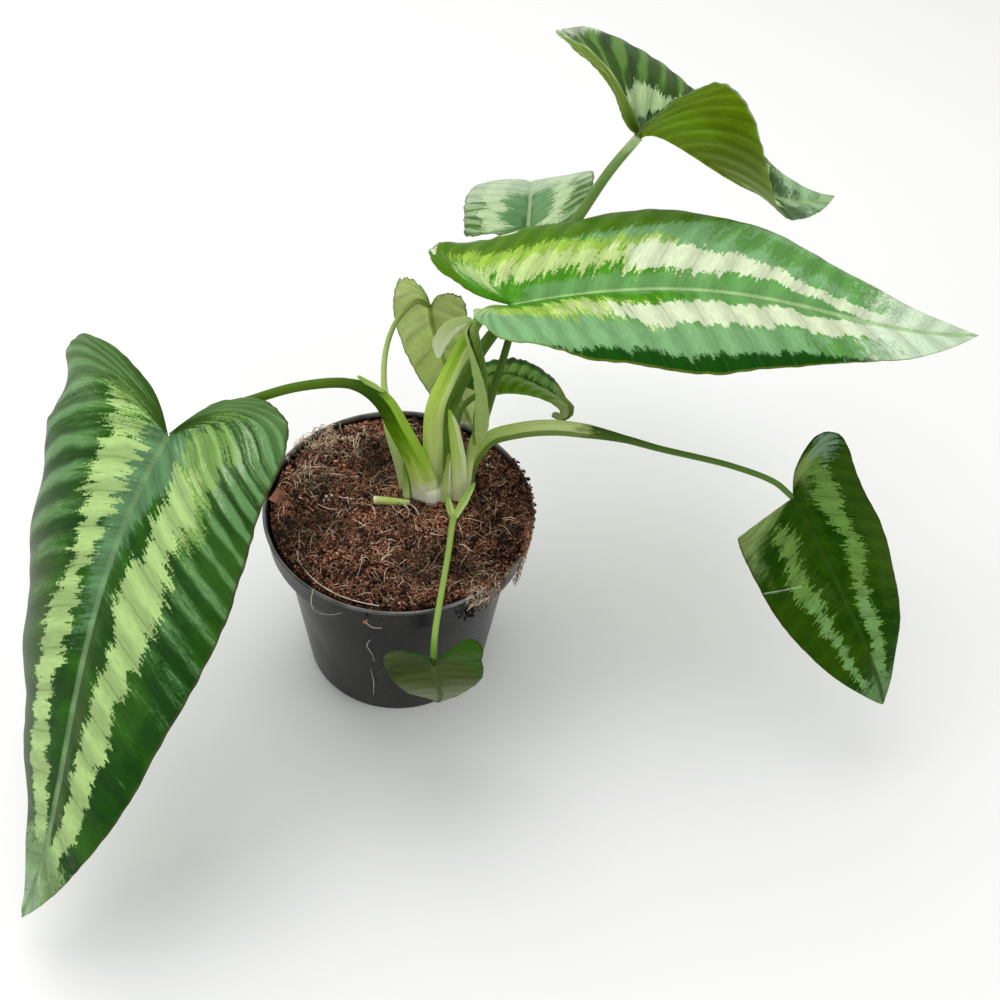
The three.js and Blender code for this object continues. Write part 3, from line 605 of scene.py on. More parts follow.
# %% The skin of a leaf
def leaf_material(name, look, veins):
    """The ground, then each layer where its depth plus noise is above zero, then the veins and the margin.

    The underside has colours of its own, and the mesh's mark says which side a point is on. The crests of
    the bulges are then made lighter and the rest darker, as painted light and shade.
    """
    material, tree, surface = new_material(name, 0.4, look.get("shine", 0.1))
    streak = attribute(tree, "streak", "Vector")
    parts = add_node(tree, "ShaderNodeSeparateXYZ", {0: streak}).outputs
    place = add_node(tree, "ShaderNodeTexCoord").outputs["Object"]
    wide = noise(tree, stretched(tree, streak, (60, 1.4, 0)), 1, 3, 0.65)
    fine = noise(tree, stretched(tree, streak, (230, 9, 0)), 1, 2, 0.6)
    speck = noise(tree, place, 900, 2, 0.6)
    torn = calc(tree, "MULTIPLY_ADD", speck, 0.22, calc(tree, "MULTIPLY", fine, 0.28))
    torn = calc(tree, "SUBTRACT", calc(tree, "MULTIPLY_ADD", wide, 0.5, torn), 0.5)
    cloud = noise(tree, place, 40, 3)
    number = calc(tree, "MULTIPLY", parts[0], veins)
    crest = calc(tree, "ABSOLUTE", calc(tree, "SUBTRACT", calc(tree, "FRACT", number), 0.42))
    crest = ramp(tree, swayed(tree, crest, cloud, 0.7), 0.05, 0.36, 1, 0)
    patch = ramp(tree, cloud, 0.4, 0.6)
    colour = blend(tree, patch, shade(*look["ground"]), shade(*look["ground_2"]))
    below = blend(tree, patch, shade(*look["under"]), shade(*look["under_2"]))
    for layer in look["layers"]:
        reach = calc(tree, "MULTIPLY_ADD", torn, layer.get("torn", 0.5), attribute(tree, layer["mark"]))
        soft = layer.get("soft", 0.012)
        cover = calc(tree, "MULTIPLY", ramp(tree, reach, -soft, soft), layer.get("cover", 1.0))
        if "crest" in layer:
            cover = calc(tree, "MULTIPLY", cover, ramp(tree, crest, 0, 1, 1 - layer["crest"], 1))
        if layer["colour"]:
            colour = blend(tree, cover, colour, shade(*layer["colour"]))
        if "under" in layer:
            below = blend(tree, cover, below, shade(*layer["under"]))
    valley = ramp(tree, wave(tree, number, math.pi), 0, 0.16, 1, 0)
    thread = wave(tree, number, math.pi * 7)
    vein_above = calc(tree, "MULTIPLY", valley, look.get("vein", 0.3))
    vein_below = calc(tree, "MULTIPLY", valley, look.get("vein_under", 0.5))
    colour = blend(tree, vein_above, colour, shade(*look["vein_colour"]))
    below = blend(tree, vein_below, below, shade(*look["rib_under"]))
    away = attribute(tree, "from_midrib")
    broad = look.get("rib_width", 1)
    rib = ramp(tree, away, 0.6 * broad, 1.4 * broad, 0.85, 0)
    colour = blend(tree, rib, colour, shade(*look["rib"]))
    below = blend(tree, rib, below, shade(*look.get("midrib_under", look["rib_under"])))
    whole = blend(tree, parts[2], below, colour)
    margin = ramp(tree, calc(tree, "ABSOLUTE", parts[1]), 0.97, 0.99, 0, look.get("margin_cover", 0.7))
    whole = blend(tree, margin, whole, shade(*look.get("margin", (62, 72, 30))))
    # Painted light and shade: the crests of the bulges between the veins are made lighter, the rest darker.
    whole = toned(tree, whole, crest, look.get("ridges", 0.16))
    whole = toned(tree, whole, fine, 0.55)
    height = calc(tree, "ADD", calc(tree, "MULTIPLY", thread, 0.6), noise(tree, place, 1100, 2))
    finish_surface(tree, surface, whole, height, 0.3, 0.0003)
    return material


# %% [markdown]
# ## How each leaf is painted
#
# A layer's stations are (u, inner edge, outer edge) on each half. The left and the right leaf carry two
# pale bands from lobe to tip, with a grey-green sheen beside the midrib, partly the leaf's own lustre and
# partly painted sheen, and a painted sheen on the crests. The top leaf also shows its underside, which
# has vivid and olive parts of its own. On the back and the low right leaf the bands are broken. The small
# and the front leaf only change towards margin and end, and the young leaf is plain.

# %% How each leaf is painted
NONE = [(0, 2, 1), (1, 2, 1)]


def beyond(u):
    """Stations that cover the whole width from u on, past the tip."""
    return [(u, -1, 2), (2, -1, 2)]


def layer(mark, colour, left, right=None, **options):
    """One layer of paint. Where only one list of stations is given, it holds for both halves."""
    return {"mark": mark, "colour": colour, "left": left, "right": right or left, **options}


LOOKS = {
    "left": {
        "ground": (16, 62, 0), "ground_2": (38, 86, 6), "vein_colour": (22, 58, 8), "rib": (110, 144, 96),
        "rib_width": 1.5, "shine": 0.09, "under": (96, 128, 72), "under_2": (108, 140, 82),
        "rib_under": (130, 160, 96), "margin": (96, 100, 60), "margin_cover": 0.5, "ridges": 0.3,
        "vein": 0.28,
        "layers": [
            # Painted highlight: a lighter green on the crests of the bulges, where they would catch the
            # light.
            layer("ridge_green", (66, 108, 34), [(0.2, 0.3, 1.3), (0.6, 0.5, 1.3)],
                  [(0.2, 0.3, 1.3), (0.66, 0.4, 1.3)], torn=0.8, soft=0.14, cover=0.7, crest=0.8),
            layer("lobe", (54, 88, 22), [(-1, -1, 2), (0.35, -1, 2)], [(-1, -1, 2), (0.34, -1, 2)],
                  torn=0.5, soft=0.06, cover=0.9),
            # Painted sheen: a pale olive wash over the outer parts of the lobes.
            layer("lobe_sheen", (96, 134, 76), [(0.12, 0.4, 1.2), (0.27, 0.62, 1.2), (0.46, 0.78, 1.2)],
                  [(0.18, 0.5, 1.2), (0.4, 0.55, 1.2)], torn=0.8, soft=0.08, cover=0.7),
            layer("olive", (58, 82, 32), [(0.62, -1, 0.12), (0.8, -1, 0.2), (0.9, -1, 0.5)],
                  [(0.55, 0.5, 2), (0.7, 0.35, 2), (0.92, 0.4, 2)], torn=0.7, soft=0.06, cover=0.75),
            # A grey-green sheen beside the midrib: partly the leaf's own lustre, partly painted sheen.
            layer("midrib_lustre_and_sheen", (90, 130, 88),
                  [(0.33, -1, 0.4), (0.44, -1, 0.36), (0.5, -1, 0.12), (0.56, -1, 0.03)],
                  [(0.33, -1, 0.3), (0.43, -1, 0.26), (0.52, -1, 0.18), (0.62, -1, 0.03)], torn=0.8,
                  soft=0.08, cover=0.9),
            # Painted sheen on the crests of the bulges in the outer parts.
            layer("ridge_sheen", (108, 150, 100), [(0.36, 0.5, 1.2), (0.46, 0.6, 1.2), (0.63, 0.6, 1.02)],
                  [(0.33, 0.45, 1.1), (0.5, 0.42, 1.0), (0.56, 0.5, 0.9)], torn=1.3, soft=0.16, cover=0.5,
                  crest=1),
            # Painted highlight: a whitish glint on the crests near the lobe.
            layer("pale_ridge", (176, 200, 160), [(0.36, 0.2, 0.66), (0.42, 0.3, 0.75), (0.47, 0.45, 0.7)],
                  NONE, torn=0.9, soft=0.1, cover=0.6, crest=0.8),
            layer("lobe_band", (108, 146, 70), [(0.28, 0.5, 0.66), (0.33, 0.3, 0.68)],
                  [(0.26, 0.24, 0.52), (0.34, 0.16, 0.5)], torn=1.1, soft=0.03, cover=0.7),
            layer("band_top", (124, 162, 80), [(0.35, 0.2, 0.5), (0.42, 0.28, 0.64), (0.55, 0.3, 0.64)],
                  [(0.33, 0.17, 0.46), (0.47, 0.12, 0.34)], under=(140, 168, 104), torn=0.8, cover=0.8),
            layer("band", (160, 190, 118),
                  [(0.44, 0.28, 0.46), (0.5, 0.29, 0.55), (0.56, 0.25, 0.52), (0.59, 0.16, 0.55),
                   (0.64, 0.23, 0.57), (0.69, 0.26, 0.5), (0.76, 0.2, 0.54), (0.82, 0.26, 0.64),
                   (0.9, 0.3, 0.7)],
                  [(0.36, 0.18, 0.42), (0.43, 0.11, 0.36), (0.48, 0.12, 0.31), (0.53, 0.15, 0.3),
                   (0.56, 0.16, 0.27), (0.64, 0.15, 0.36), (0.7, 0.27, 0.52), (0.78, 0.24, 0.62),
                   (0.86, 0.14, 0.55), (0.9, 0.1, 0.5)], under=(150, 176, 112), torn=0.75, jump=0.1,
                  soft=0.018, cover=0.95),
            layer("tip", (118, 150, 94), beyond(0.87), torn=0.4, soft=0.03, cover=0.9),
            layer("tip_end", (150, 176, 142), beyond(0.93), torn=0.3, soft=0.05, cover=0.8),
        ],
    },
    "right": {
        "ground": (98, 156, 78), "ground_2": (108, 164, 92), "vein_colour": (74, 124, 40), "shine": 0.05,
        "rib": (164, 196, 136), "under": (120, 150, 80), "under_2": (130, 158, 90),
        "rib_under": (150, 178, 108), "margin": (132, 148, 44), "margin_cover": 0.6, "ridges": 0.22,
        "vein": 0.2,
        "layers": [
            layer("vivid", (66, 136, 0), [(-1, -1, 2), (0.5, 0.1, 2), (0.6, 0.12, 0.3)],
                  [(-1, -1, 2), (0.35, -1, 0.6), (0.42, 0.02, 0.5), (0.52, 0.04, 0.4), (0.6, 0.05, 0.2)],
                  torn=0.8, soft=0.03, cover=0.92),
            layer("pale_lobe", (178, 204, 140), [(0.27, 0.2, 0.98), (0.33, 0.2, 0.95), (0.36, 0.25, 0.7)],
                  [(0.16, 0.55, 1.1), (0.28, 0.5, 1.1), (0.38, 0.38, 0.6)], torn=0.9, soft=0.06,
                  cover=0.85),
            layer("moss", (76, 118, 0),
                  [(0.1, 0.75, 2), (0.33, 0.66, 2), (0.46, 0.52, 2), (0.58, 0.6, 2), (0.66, 0.78, 2),
                   (0.71, 0.96, 2)], NONE, torn=0.7, soft=0.03, cover=0.96),
            layer("grey", (122, 168, 114),
                  [(0.5, 0.36, 0.58), (0.58, 0.36, 0.64), (0.64, 0.4, 0.8), (0.7, 0.4, 1.1),
                   (0.8, 0.4, 1.1)], [(0.3, 0.66, 2), (0.42, 0.56, 2), (0.86, 0.46, 2)], torn=0.7,
                  soft=0.04, cover=0.95),
            layer("midrib_grey", (104, 154, 88), [(0.38, -1, 0.1), (0.6, -1, 0.14), (0.85, -1, 0.2)],
                  [(0.5, -1, 0.04), (0.62, -1, 0.1), (0.85, -1, 0.3)], torn=0.25, soft=0.03, cover=0.9),
            layer("streaks", (84, 140, 56), [(0.66, 0.6, 0.9), (0.82, 0.6, 1)],
                  [(0.74, 0.5, 0.85), (0.8, 0.3, 0.9)], torn=1.3, soft=0.05, cover=0.8),
            layer("deep", (14, 68, 0), NONE,
                  [(0.46, 0.97, 2), (0.53, 0.87, 2), (0.64, 0.81, 2), (0.72, 0.84, 2), (0.8, 0.95, 2)],
                  torn=0.5, soft=0.03, jump=0.04),
            layer("glow", (156, 192, 70), [(0.34, 0.4, 0.74), (0.46, 0.26, 0.6), (0.6, 0.22, 0.5)],
                  [(0.26, 0.3, 0.55), (0.36, 0.3, 0.55), (0.44, 0.2, 0.54), (0.54, 0.22, 0.52)], torn=0.9,
                  soft=0.04, cover=0.88),
            layer("band_start", (190, 210, 140), [(0.34, 0.26, 0.5), (0.46, 0.22, 0.42), (0.6, 0.18, 0.46)],
                  [(0.45, 0.26, 0.46), (0.56, 0.25, 0.5)], torn=1.0, soft=0.03, cover=0.85),
            layer("band", (208, 220, 184),
                  [(0.545, 0.2, 0.4), (0.57, 0.18, 0.46), (0.61, 0.17, 0.42), (0.66, 0.24, 0.48),
                   (0.7, 0.28, 0.46), (0.74, 0.22, 0.38), (0.8, 0.14, 0.38), (0.88, 0.05, 0.4)],
                  [(0.51, 0.26, 0.48), (0.54, 0.25, 0.52), (0.58, 0.25, 0.52), (0.65, 0.22, 0.5),
                   (0.73, 0.15, 0.5), (0.8, 0.14, 0.48), (0.88, 0.05, 0.5)], under=(170, 196, 120),
                  torn=0.5, jump=0.12),
            layer("pale_rim", (216, 228, 184), [(0.28, 0.965, 2), (0.48, 0.965, 2)], NONE, torn=0.06,
                  soft=0.008, cover=0.9),
            layer("tip", (204, 222, 194), beyond(0.83), beyond(0.81), torn=0.5, soft=0.07, cover=0.9),
        ],
    },
    "top": {
        "ground": (24, 58, 0), "ground_2": (48, 84, 10), "vein_colour": (66, 96, 34), "shine": 0.04,
        "rib": (150, 180, 120), "under": (108, 138, 10), "under_2": (124, 154, 24),
        "rib_under": (120, 148, 34), "vein_under": 0.05, "margin": (190, 204, 170), "margin_cover": 0.7,
        "ridges": 0.3,
        "layers": [
            # Painted sheen on the crests of the bulges.
            layer("ridge_sheen", (92, 132, 52), [(0.2, 0.3, 1.2), (0.8, 0.4, 1.2)], torn=0.9, soft=0.1,
                  cover=0.8, crest=0.9),
            # A grey-green sheen beside the midrib: partly the leaf's own lustre, partly painted sheen.
            layer("midrib_lustre_and_sheen", (90, 130, 92), [(0.3, -1, 0.16), (0.44, -1, 0.12)], torn=0.6, soft=0.05,
                  cover=0.8),
            layer("band", (180, 206, 150),
                  [(0.36, 0.16, 0.3), (0.44, 0.14, 0.34), (0.5, 0.14, 0.3), (0.8, 0.3, 0.6)], torn=0.5),
            layer("vivid_under", None, [(0.42, 0.14, 0.3), (0.7, 0.2, 0.4)],
                  [(0.4, 0.1, 0.4), (0.5, 0.16, 0.5), (0.6, 0.2, 0.4)], under=(124, 166, 24), torn=0.9,
                  soft=0.1, cover=0.9),
            layer("olive_under", None, NONE, [(0.56, -1, 0.9), (0.7, -1, 0.9)], under=(88, 112, 6),
                  torn=0.9, soft=0.1, cover=0.8),
            layer("hem_edge", (168, 190, 116),
                  [(-1, -1, 2), (0.338, -1, 2), (0.37, 0.33, 2), (0.41, 0.74, 2)], NONE, torn=0.04,
                  soft=0.006, jump=0, cover=0.8),
            layer("hem", (96, 126, 10), [(-1, -1, 2), (0.331, -1, 2), (0.363, 0.35, 2), (0.403, 0.76, 2)],
                  NONE, torn=0.04, soft=0.006, jump=0, cover=0.95),
            layer("far_rim", (188, 200, 176), [(0.42, 0.93, 2), (0.75, 0.93, 2)], NONE, torn=0.5, soft=0.05,
                  cover=0.7),
            layer("tip", (148, 182, 136), beyond(0.82), torn=0.6, soft=0.05, cover=0.9),
            layer("tip_dark", (58, 84, 54), [(0.8, 0.1, 0.5), (0.87, 0.05, 0.4)],
                  [(0.8, 0.5, 1.2), (0.87, 0.4, 1.2)], torn=1.1, soft=0.03, cover=0.8),
        ],
    },
    "back": {
        "ground": (84, 130, 78), "ground_2": (100, 144, 92), "vein_colour": (66, 106, 58),
        "rib": (160, 184, 132), "under": (140, 164, 116), "under_2": (150, 172, 124),
        "rib_under": (160, 182, 128), "ridges": 0.08, "margin": (150, 160, 140), "margin_cover": 0.6,
        "layers": [
            layer("centre_dark", (54, 96, 46), [(0.33, -1, 0.06), (0.7, -1, 0.03)], torn=0.3, soft=0.04,
                  cover=0.8),
            layer("dark", (66, 104, 30), [(0.2, 0.76, 2), (0.9, 0.72, 2)], [(0.2, 0.7, 2), (0.9, 0.72, 2)],
                  torn=1.5, soft=0.03, jump=0.3),
            layer("pale_fleck", (180, 206, 160), [(0.2, 0.7, 2), (0.9, 0.7, 2)], torn=1.6, soft=0.03,
                  cover=0.5, crest=0.9),
            layer("band", (180, 202, 154),
                  [(0.34, 0.3, 0.74), (0.42, 0.42, 0.76), (0.52, 0.38, 0.72), (0.9, 0.3, 0.7)],
                  [(0.34, 0.34, 0.6), (0.42, 0.44, 0.72), (0.5, 0.42, 0.7), (0.9, 0.3, 0.7)],
                  under=(176, 198, 150), torn=1.0, jump=0.2),
            layer("far_pale", (190, 208, 176), beyond(0.58), torn=0.7, soft=0.06, cover=0.7),
        ],
    },
    "low_right": {
        "ground": (24, 62, 0), "ground_2": (44, 76, 2), "vein_colour": (20, 54, 2), "rib": (46, 76, 18),
        "shine": 0.03, "under": (92, 118, 62), "under_2": (102, 128, 70), "rib_under": (120, 146, 84),
        "ridges": 0.16,
        "layers": [
            layer("centre", (38, 76, 4), [(0.34, -1, 0.3), (0.6, -1, 0.1)], torn=0.6, soft=0.05, cover=0.8),
            layer("olive", (66, 92, 30), [(0.4, 0.6, 2), (0.7, 0.7, 2)],
                  [(0.35, 0.4, 0.75), (0.66, 0.1, 0.3)], torn=0.8, soft=0.08, cover=0.35),
            layer("pale_lobe", (142, 166, 98), [(0.1, 0.3, 0.85), (0.34, 0.3, 0.7)],
                  [(-1, 0.1, 2), (0.35, 0.2, 2), (0.44, 0.56, 2), (0.54, 0.86, 2)], torn=0.5, soft=0.12,
                  cover=0.85),
            layer("band", (104, 142, 66),
                  [(0.34, 0.42, 0.58), (0.4, 0.36, 0.66), (0.46, 0.33, 0.66), (0.53, 0.36, 0.62),
                   (0.6, 0.29, 0.54), (0.68, 0.2, 0.46), (0.75, 0.14, 0.44), (0.8, 0.12, 0.48),
                   (0.88, -1, 0.6)],
                  [(0.42, 0.28, 0.42), (0.47, 0.28, 0.46), (0.53, 0.3, 0.54), (0.6, 0.31, 0.54),
                   (0.68, 0.36, 0.54), (0.76, 0.42, 0.64), (0.84, 0.5, 0.7), (0.88, 0.4, 0.9)],
                  under=(122, 150, 84), torn=1.0, soft=0.025, cover=0.9, jump=0.14),
            layer("band_low", (110, 150, 92),
                  [(0.66, 0.24, 0.42), (0.75, 0.17, 0.4), (0.82, 0.16, 0.44), (0.88, -1, 0.5)],
                  [(0.66, 0.38, 0.5), (0.76, 0.44, 0.6), (0.86, 0.5, 0.7)], torn=0.7, soft=0.03, cover=0.7),
            # Painted highlight: a pale glossy patch by the lobe.
            layer("lobe_gloss_highlight", (134, 164, 140), [(0.27, 0.62, 1), (0.37, 0.66, 0.96)], NONE, torn=0.6,
                  soft=0.06, cover=0.8),
            layer("scratch", (222, 236, 210), NONE, [(0.6, 0.44, 2), (0.6048, 0.44, 2)], torn=0.001,
                  soft=0.0008, jump=0),
            layer("tip", (98, 136, 84), beyond(0.87), torn=0.6, soft=0.06, cover=0.8),
        ],
    },
    "young": {
        "ground": (90, 130, 50), "ground_2": (104, 142, 60), "vein_colour": (70, 110, 40),
        # The underside is the young leaf's own pale green, made paler still by painted light shining through
        # it.
        "rib": (120, 160, 85), "under": (200, 222, 132), "under_2": (222, 240, 160),
        "rib_under": (236, 246, 190), "vein_under": 0.4, "midrib_under": (140, 160, 66), "ridges": 0.2,
        "margin": (146, 164, 92),
        "layers": [],
    },
    "small": {
        "ground": (44, 92, 12), "ground_2": (60, 110, 26), "vein_colour": (36, 76, 16),
        "rib": (96, 140, 50), "under": (92, 136, 10), "under_2": (112, 158, 34),
        "rib_under": (120, 160, 60), "ridges": 0.24, "vein_under": 0.2,
        "layers": [
            layer("pale_edge", (128, 170, 84), [(0.4, 0.46, 0.8), (0.9, 0.4, 0.8)],
                  [(0.3, 0.5, 1.0), (0.9, 0.5, 0.9)], under=(136, 178, 84), torn=1.4, soft=0.04,
                  cover=0.85),
            layer("deep_edge", (34, 84, 4), [(0.3, 0.8, 2), (0.8, 0.8, 2)], [(0.3, 0.9, 2), (0.7, 0.9, 2)],
                  under=(42, 90, 6), torn=1.2, soft=0.03, cover=0.85),
            layer("curled_tip", (136, 156, 84), beyond(0.8), under=(180, 192, 130), torn=0.5, soft=0.08,
                  cover=0.9),
        ],
    },
    "front": {
        "ground": (24, 92, 6), "ground_2": (44, 110, 26), "vein_colour": (30, 70, 14),
        "rib": (110, 150, 80), "under": (46, 62, 12), "under_2": (64, 78, 24), "rib_under": (62, 82, 22),
        "ridges": 0.1, "vein_under": 0.15, "shine": 0.03,
        "layers": [
            layer("dark_lobe", (40, 92, 8), [(2, -1, 2), (3, -1, 2)],
                  [(-1, 0.1, 2), (0.4, 0.3, 2), (0.6, 0.8, 2)], under=(48, 88, 8), torn=0.6, soft=0.12,
                  cover=0.9),
            layer("pale_end", (140, 150, 118), beyond(0.7), under=(126, 136, 104), torn=0.4, soft=0.2,
                  cover=0.7),
        ],
    },
}
for number, (name, leaf) in enumerate(LEAVES.items()):
    look = LOOKS[name]
    material = leaf_material(f"{name}_leaf_skin", look, leaf["veins"])
    blade = blade_piece(name, leaf, material, stripes_of(look["layers"], leaf, number))


# %% [markdown]
# ## Stalks and old sheaths
#
# A stalk is an oval carried along a route. At its foot it is the sheath that wraps the next leaf, broad,
# pale and grooved, with a thin wing along each edge; further up it is round, darker, and finely striped by
# its fibres. Each point of a ring keeps where it is along and round the stalk, so that the colour can
# change both ways. A route's rows hold x, y, z and the two half widths.

# %% Stalks and old sheaths
ROUTE_STEPS, TIP_LENGTH = 80, 1.2
STALKS = {
    "top_stalk": {
        "facing": [0, -1, 0.3],
        "route": [[20, 18, 84, 4, 4], [21, 17.5, 115, 3.5, 3.5], [23, 18, 146, 2.8, 2.8],
                  [34, 29, 164, 2.6, 2.6], [50, 49, 174, 2.5, 2.5], [66, 72, 182.5, 2.4, 2.4],
                  [79, 90, 191, 2.3, 2.3], [89.5, 95, 209, 2.2, 2.2], [99.8, 94.4, 227.2, 2, 2]],
        "skin": [(0, (204, 220, 160)), (0.14, (140, 172, 84)), (0.25, (80, 112, 34)), (0.6, (76, 106, 40)),
                 (0.8, (104, 136, 64)), (0.93, (128, 158, 92)), (1, (196, 214, 160))],
        "wing": (104, 142, 52), "sheath": 0.3,
    },
    "right_stalk": {
        "facing": [0, -1, 0.3],
        "route": [[15.3, 11.5, 84, 4.4, 3.6], [14.6, 10.2, 118, 4.2, 3.4], [15, 10, 150, 3.8, 3],
                  [21, 15, 165, 3.4, 2.8], [27.5, 20, 179, 2.6, 2.4], [35.5, 23, 190.5, 2, 2],
                  [44.5, 23, 191.3, 1.8, 1.8]],
        "skin": [(0, (240, 242, 220)), (0.12, (232, 238, 200)), (0.18, (210, 228, 140)),
                 (0.34, (182, 212, 92)), (0.55, (144, 184, 56)), (0.75, (100, 142, 36)),
                 (1, (116, 156, 66))],
        "wing": (206, 226, 142), "sheath": 0.72,
    },
    "back_stalk": {
        "facing": [0, -1, 0.3],
        "route": [[29.5, 19.5, 84, 2, 2], [34.5, 19.5, 118, 1.8, 1.8], [40, 24, 145, 1.7, 1.7],
                  [46.8, 39, 164.5, 1.6, 1.6], [52, 62, 168, 1.6, 1.6], [57, 92, 166, 1.5, 1.5],
                  [60, 119.5, 157.6, 1.4, 1.4]],
        "skin": [(0, (150, 170, 96)), (0.3, (82, 110, 42)), (0.6, (70, 102, 38)), (1, (100, 130, 70))],
        "wing": (106, 140, 58), "sheath": 0.2,
    },
    "small_stalk": {
        "facing": [0, -1, 0.3],
        "route": [[25, 21.5, 84, 1.7, 1.7], [25, 21.5, 118, 1.5, 1.5], [27, 23, 136, 1.4, 1.4],
                  [33, 26, 140.5, 1.3, 1.3], [37.5, 30, 137, 1.2, 1.2], [40.6, 34.4, 132.4, 1.2, 1.2]],
        "skin": [(0, (160, 180, 100)), (0.5, (88, 120, 46)), (1, (104, 140, 60))],
        "wing": (114, 144, 64), "sheath": 0.3,
    },
    "low_right_stalk": {
        "facing": [0, -0.8, 0.6],
        "route": [[31.5, 14, 84, 2.6, 2.6], [31.5, 14, 108, 2.9, 2.4], [39, 13.5, 126.5, 3.2, 2],
                  [51, 12, 133.5, 3.3, 1.8], [65, 9.5, 138, 3.3, 1.8], [80, 6.5, 139, 2.9, 1.8],
                  [96, 3, 138, 1.7, 1.6], [111, 0, 135.5, 1.4, 1.4], [142, -6, 131.5, 1.3, 1.3],
                  [161, -10, 126, 1.3, 1.3], [171, -11, 117.3, 1.3, 1.3]],
        "skin": [(0, (212, 222, 168)), (0.12, (176, 202, 104)), (0.22, (172, 198, 106)),
                 (0.4, (192, 210, 136)), (0.47, (188, 204, 136)), (0.51, (62, 88, 26)), (0.6, (66, 94, 34)),
                 (1, (94, 130, 54))],
        "wing": (84, 112, 40), "wing_side": 1, "sheath": 0.6,
    },
    "left_stalk": {
        "facing": [0, -1, 0.2],
        "route": [[12.8, 7, 84, 6.3, 4], [11.3, 6.3, 104, 5.7, 3.7], [7.4, 5.2, 121, 4.8, 3.1],
                  [0, 2, 144, 4.4, 2.6], [-8, 0.5, 163, 3.8, 2], [-20, -1, 172, 2.2, 1.8],
                  [-40, -2, 171, 2, 1.8], [-62, -3.5, 163.5, 1.9, 1.8], [-79, -6, 158, 1.8, 1.8],
                  [-91, -12, 152, 1.8, 1.8]],
        "skin": [(0, (240, 240, 222)), (0.1, (238, 240, 218)), (0.14, (214, 228, 150)),
                 (0.2, (184, 210, 92)), (0.26, (130, 172, 44)), (0.33, (84, 124, 4)), (0.41, (50, 84, 0)),
                 (0.5, (48, 80, 2)), (0.62, (74, 104, 18)), (1, (84, 112, 26))],
        "wing": (156, 194, 62), "wing_from": (0.14, 0.2), "sheath": 0.52,
    },
    "young_stalk": {
        "facing": [0, -1, 0.3],
        "route": [[5.5, 12, 84, 4.2, 3], [3.8, 12, 102, 4.2, 2.6], [-4.5, 19, 132, 2.6, 1.8],
                  [-7, 32, 141.5, 1.3, 1.3], [-6, 46, 150, 1.2, 1.2], [-1, 54, 159.5, 1.1, 1.1],
                  [7, 57, 166.5, 1.1, 1.1], [12.6, 56.8, 164.2, 1, 1]],
        "skin": [(0, (224, 232, 190)), (0.14, (206, 220, 156)), (0.3, (172, 196, 108)),
                 (0.5, (164, 190, 112)), (0.7, (146, 170, 94)), (1, (116, 136, 52))],
        "wing": (204, 220, 150), "sheath": 0.45,
    },
    "front_stalk": {
        "facing": [1, 0, 0],
        "route": [[25.5, 0.4, 84, 1.7, 1.7], [25.2, -2.2, 93, 1.6, 1.6], [23.6, -9.5, 99.2, 1.5, 1.5],
                  [21, -30, 101, 1.3, 1.3], [16.5, -60, 102.7, 1.3, 1.3], [14.5, -76, 104, 1.3, 1.3],
                  [14, -84, 100, 1.4, 1.4]],
        "skin": [(0, (204, 216, 150)), (0.25, (164, 192, 100)), (0.5, (148, 176, 90)),
                 (0.8, (132, 168, 76)), (1, (92, 136, 40))],
        "wing": (160, 194, 96), "sheath": 0.1,
    },
    "tall_bract": {
        "facing": [0, -1, 0.3],
        "route": [[26, 4.8, 84, 3.2, 1.9], [26.3, 4.6, 104, 3.2, 1.8], [25.3, 4.2, 124, 3, 1.6],
                  [22.5, 3.6, 144, 2.1, 1.3], [20.6, 3, 153.5, 0.7, 0.6]],
        "skin": [(0, (244, 244, 224)), (0.25, (222, 232, 172)), (0.55, (182, 208, 104)),
                 (1, (142, 180, 60))],
        "wing": (206, 220, 168), "sheath": 1,
    },
    "left_bract": {
        "facing": [0, -1, 0.3],
        "route": [[4, 5.6, 84, 2.4, 1.5], [3.8, 5.8, 102, 2.2, 1.2], [2.3, 8, 119.2, 0.6, 0.5]],
        "skin": [(0, (230, 234, 204)), (0.45, (196, 214, 140)), (0.7, (150, 180, 80)), (1, (76, 104, 30))],
        "wing": (92, 122, 44), "sheath": 1,
    },
    "front_bract": {
        "facing": [0, -1, 0.3],
        "route": [[20.8, 3, 84, 2.2, 1.3], [20.6, 3.2, 104, 2.2, 1.2], [21.2, 4, 126, 0.7, 0.5]],
        "skin": [(0, (240, 242, 220)), (0.5, (198, 218, 136)), (1, (128, 164, 56))],
        "wing": (204, 218, 168), "sheath": 1,
    },
}


# %% [markdown]
# ## A tube along a route
#
# A curve object with a bevel could carry a round section along a route, but it would have no groove, no
# wing and no marks at its points. So a ring is set at each place from three directions: along the route,
# across it, and through it from front to back.

# %% A tube along a route
def along_route(stem, pace):
    """Places about a pace apart on a route, and what a tube needs there.

    These are the directions along, across and through, the half sizes, the shares and the route's length.
    """
    route = np.array(stem["route"], float)
    rough = route_at(route[:, :3], np.linspace(0, 1, ROUTE_STEPS))
    length = np.linalg.norm(np.diff(rough, axis=0), axis=1).sum()
    t = np.linspace(0, 1, int(length / pace) + 2)
    place = route_at(route[:, :3], t)
    direction = unit(np.gradient(place, axis=0))
    across = unit(np.cross(direction, stem["facing"]))
    wide, deep = (np.interp(t, np.linspace(0, 1, len(route)), route[:, k]) for k in (3, 4))
    return place, direction, across, np.cross(direction, across), wide, deep, t, length


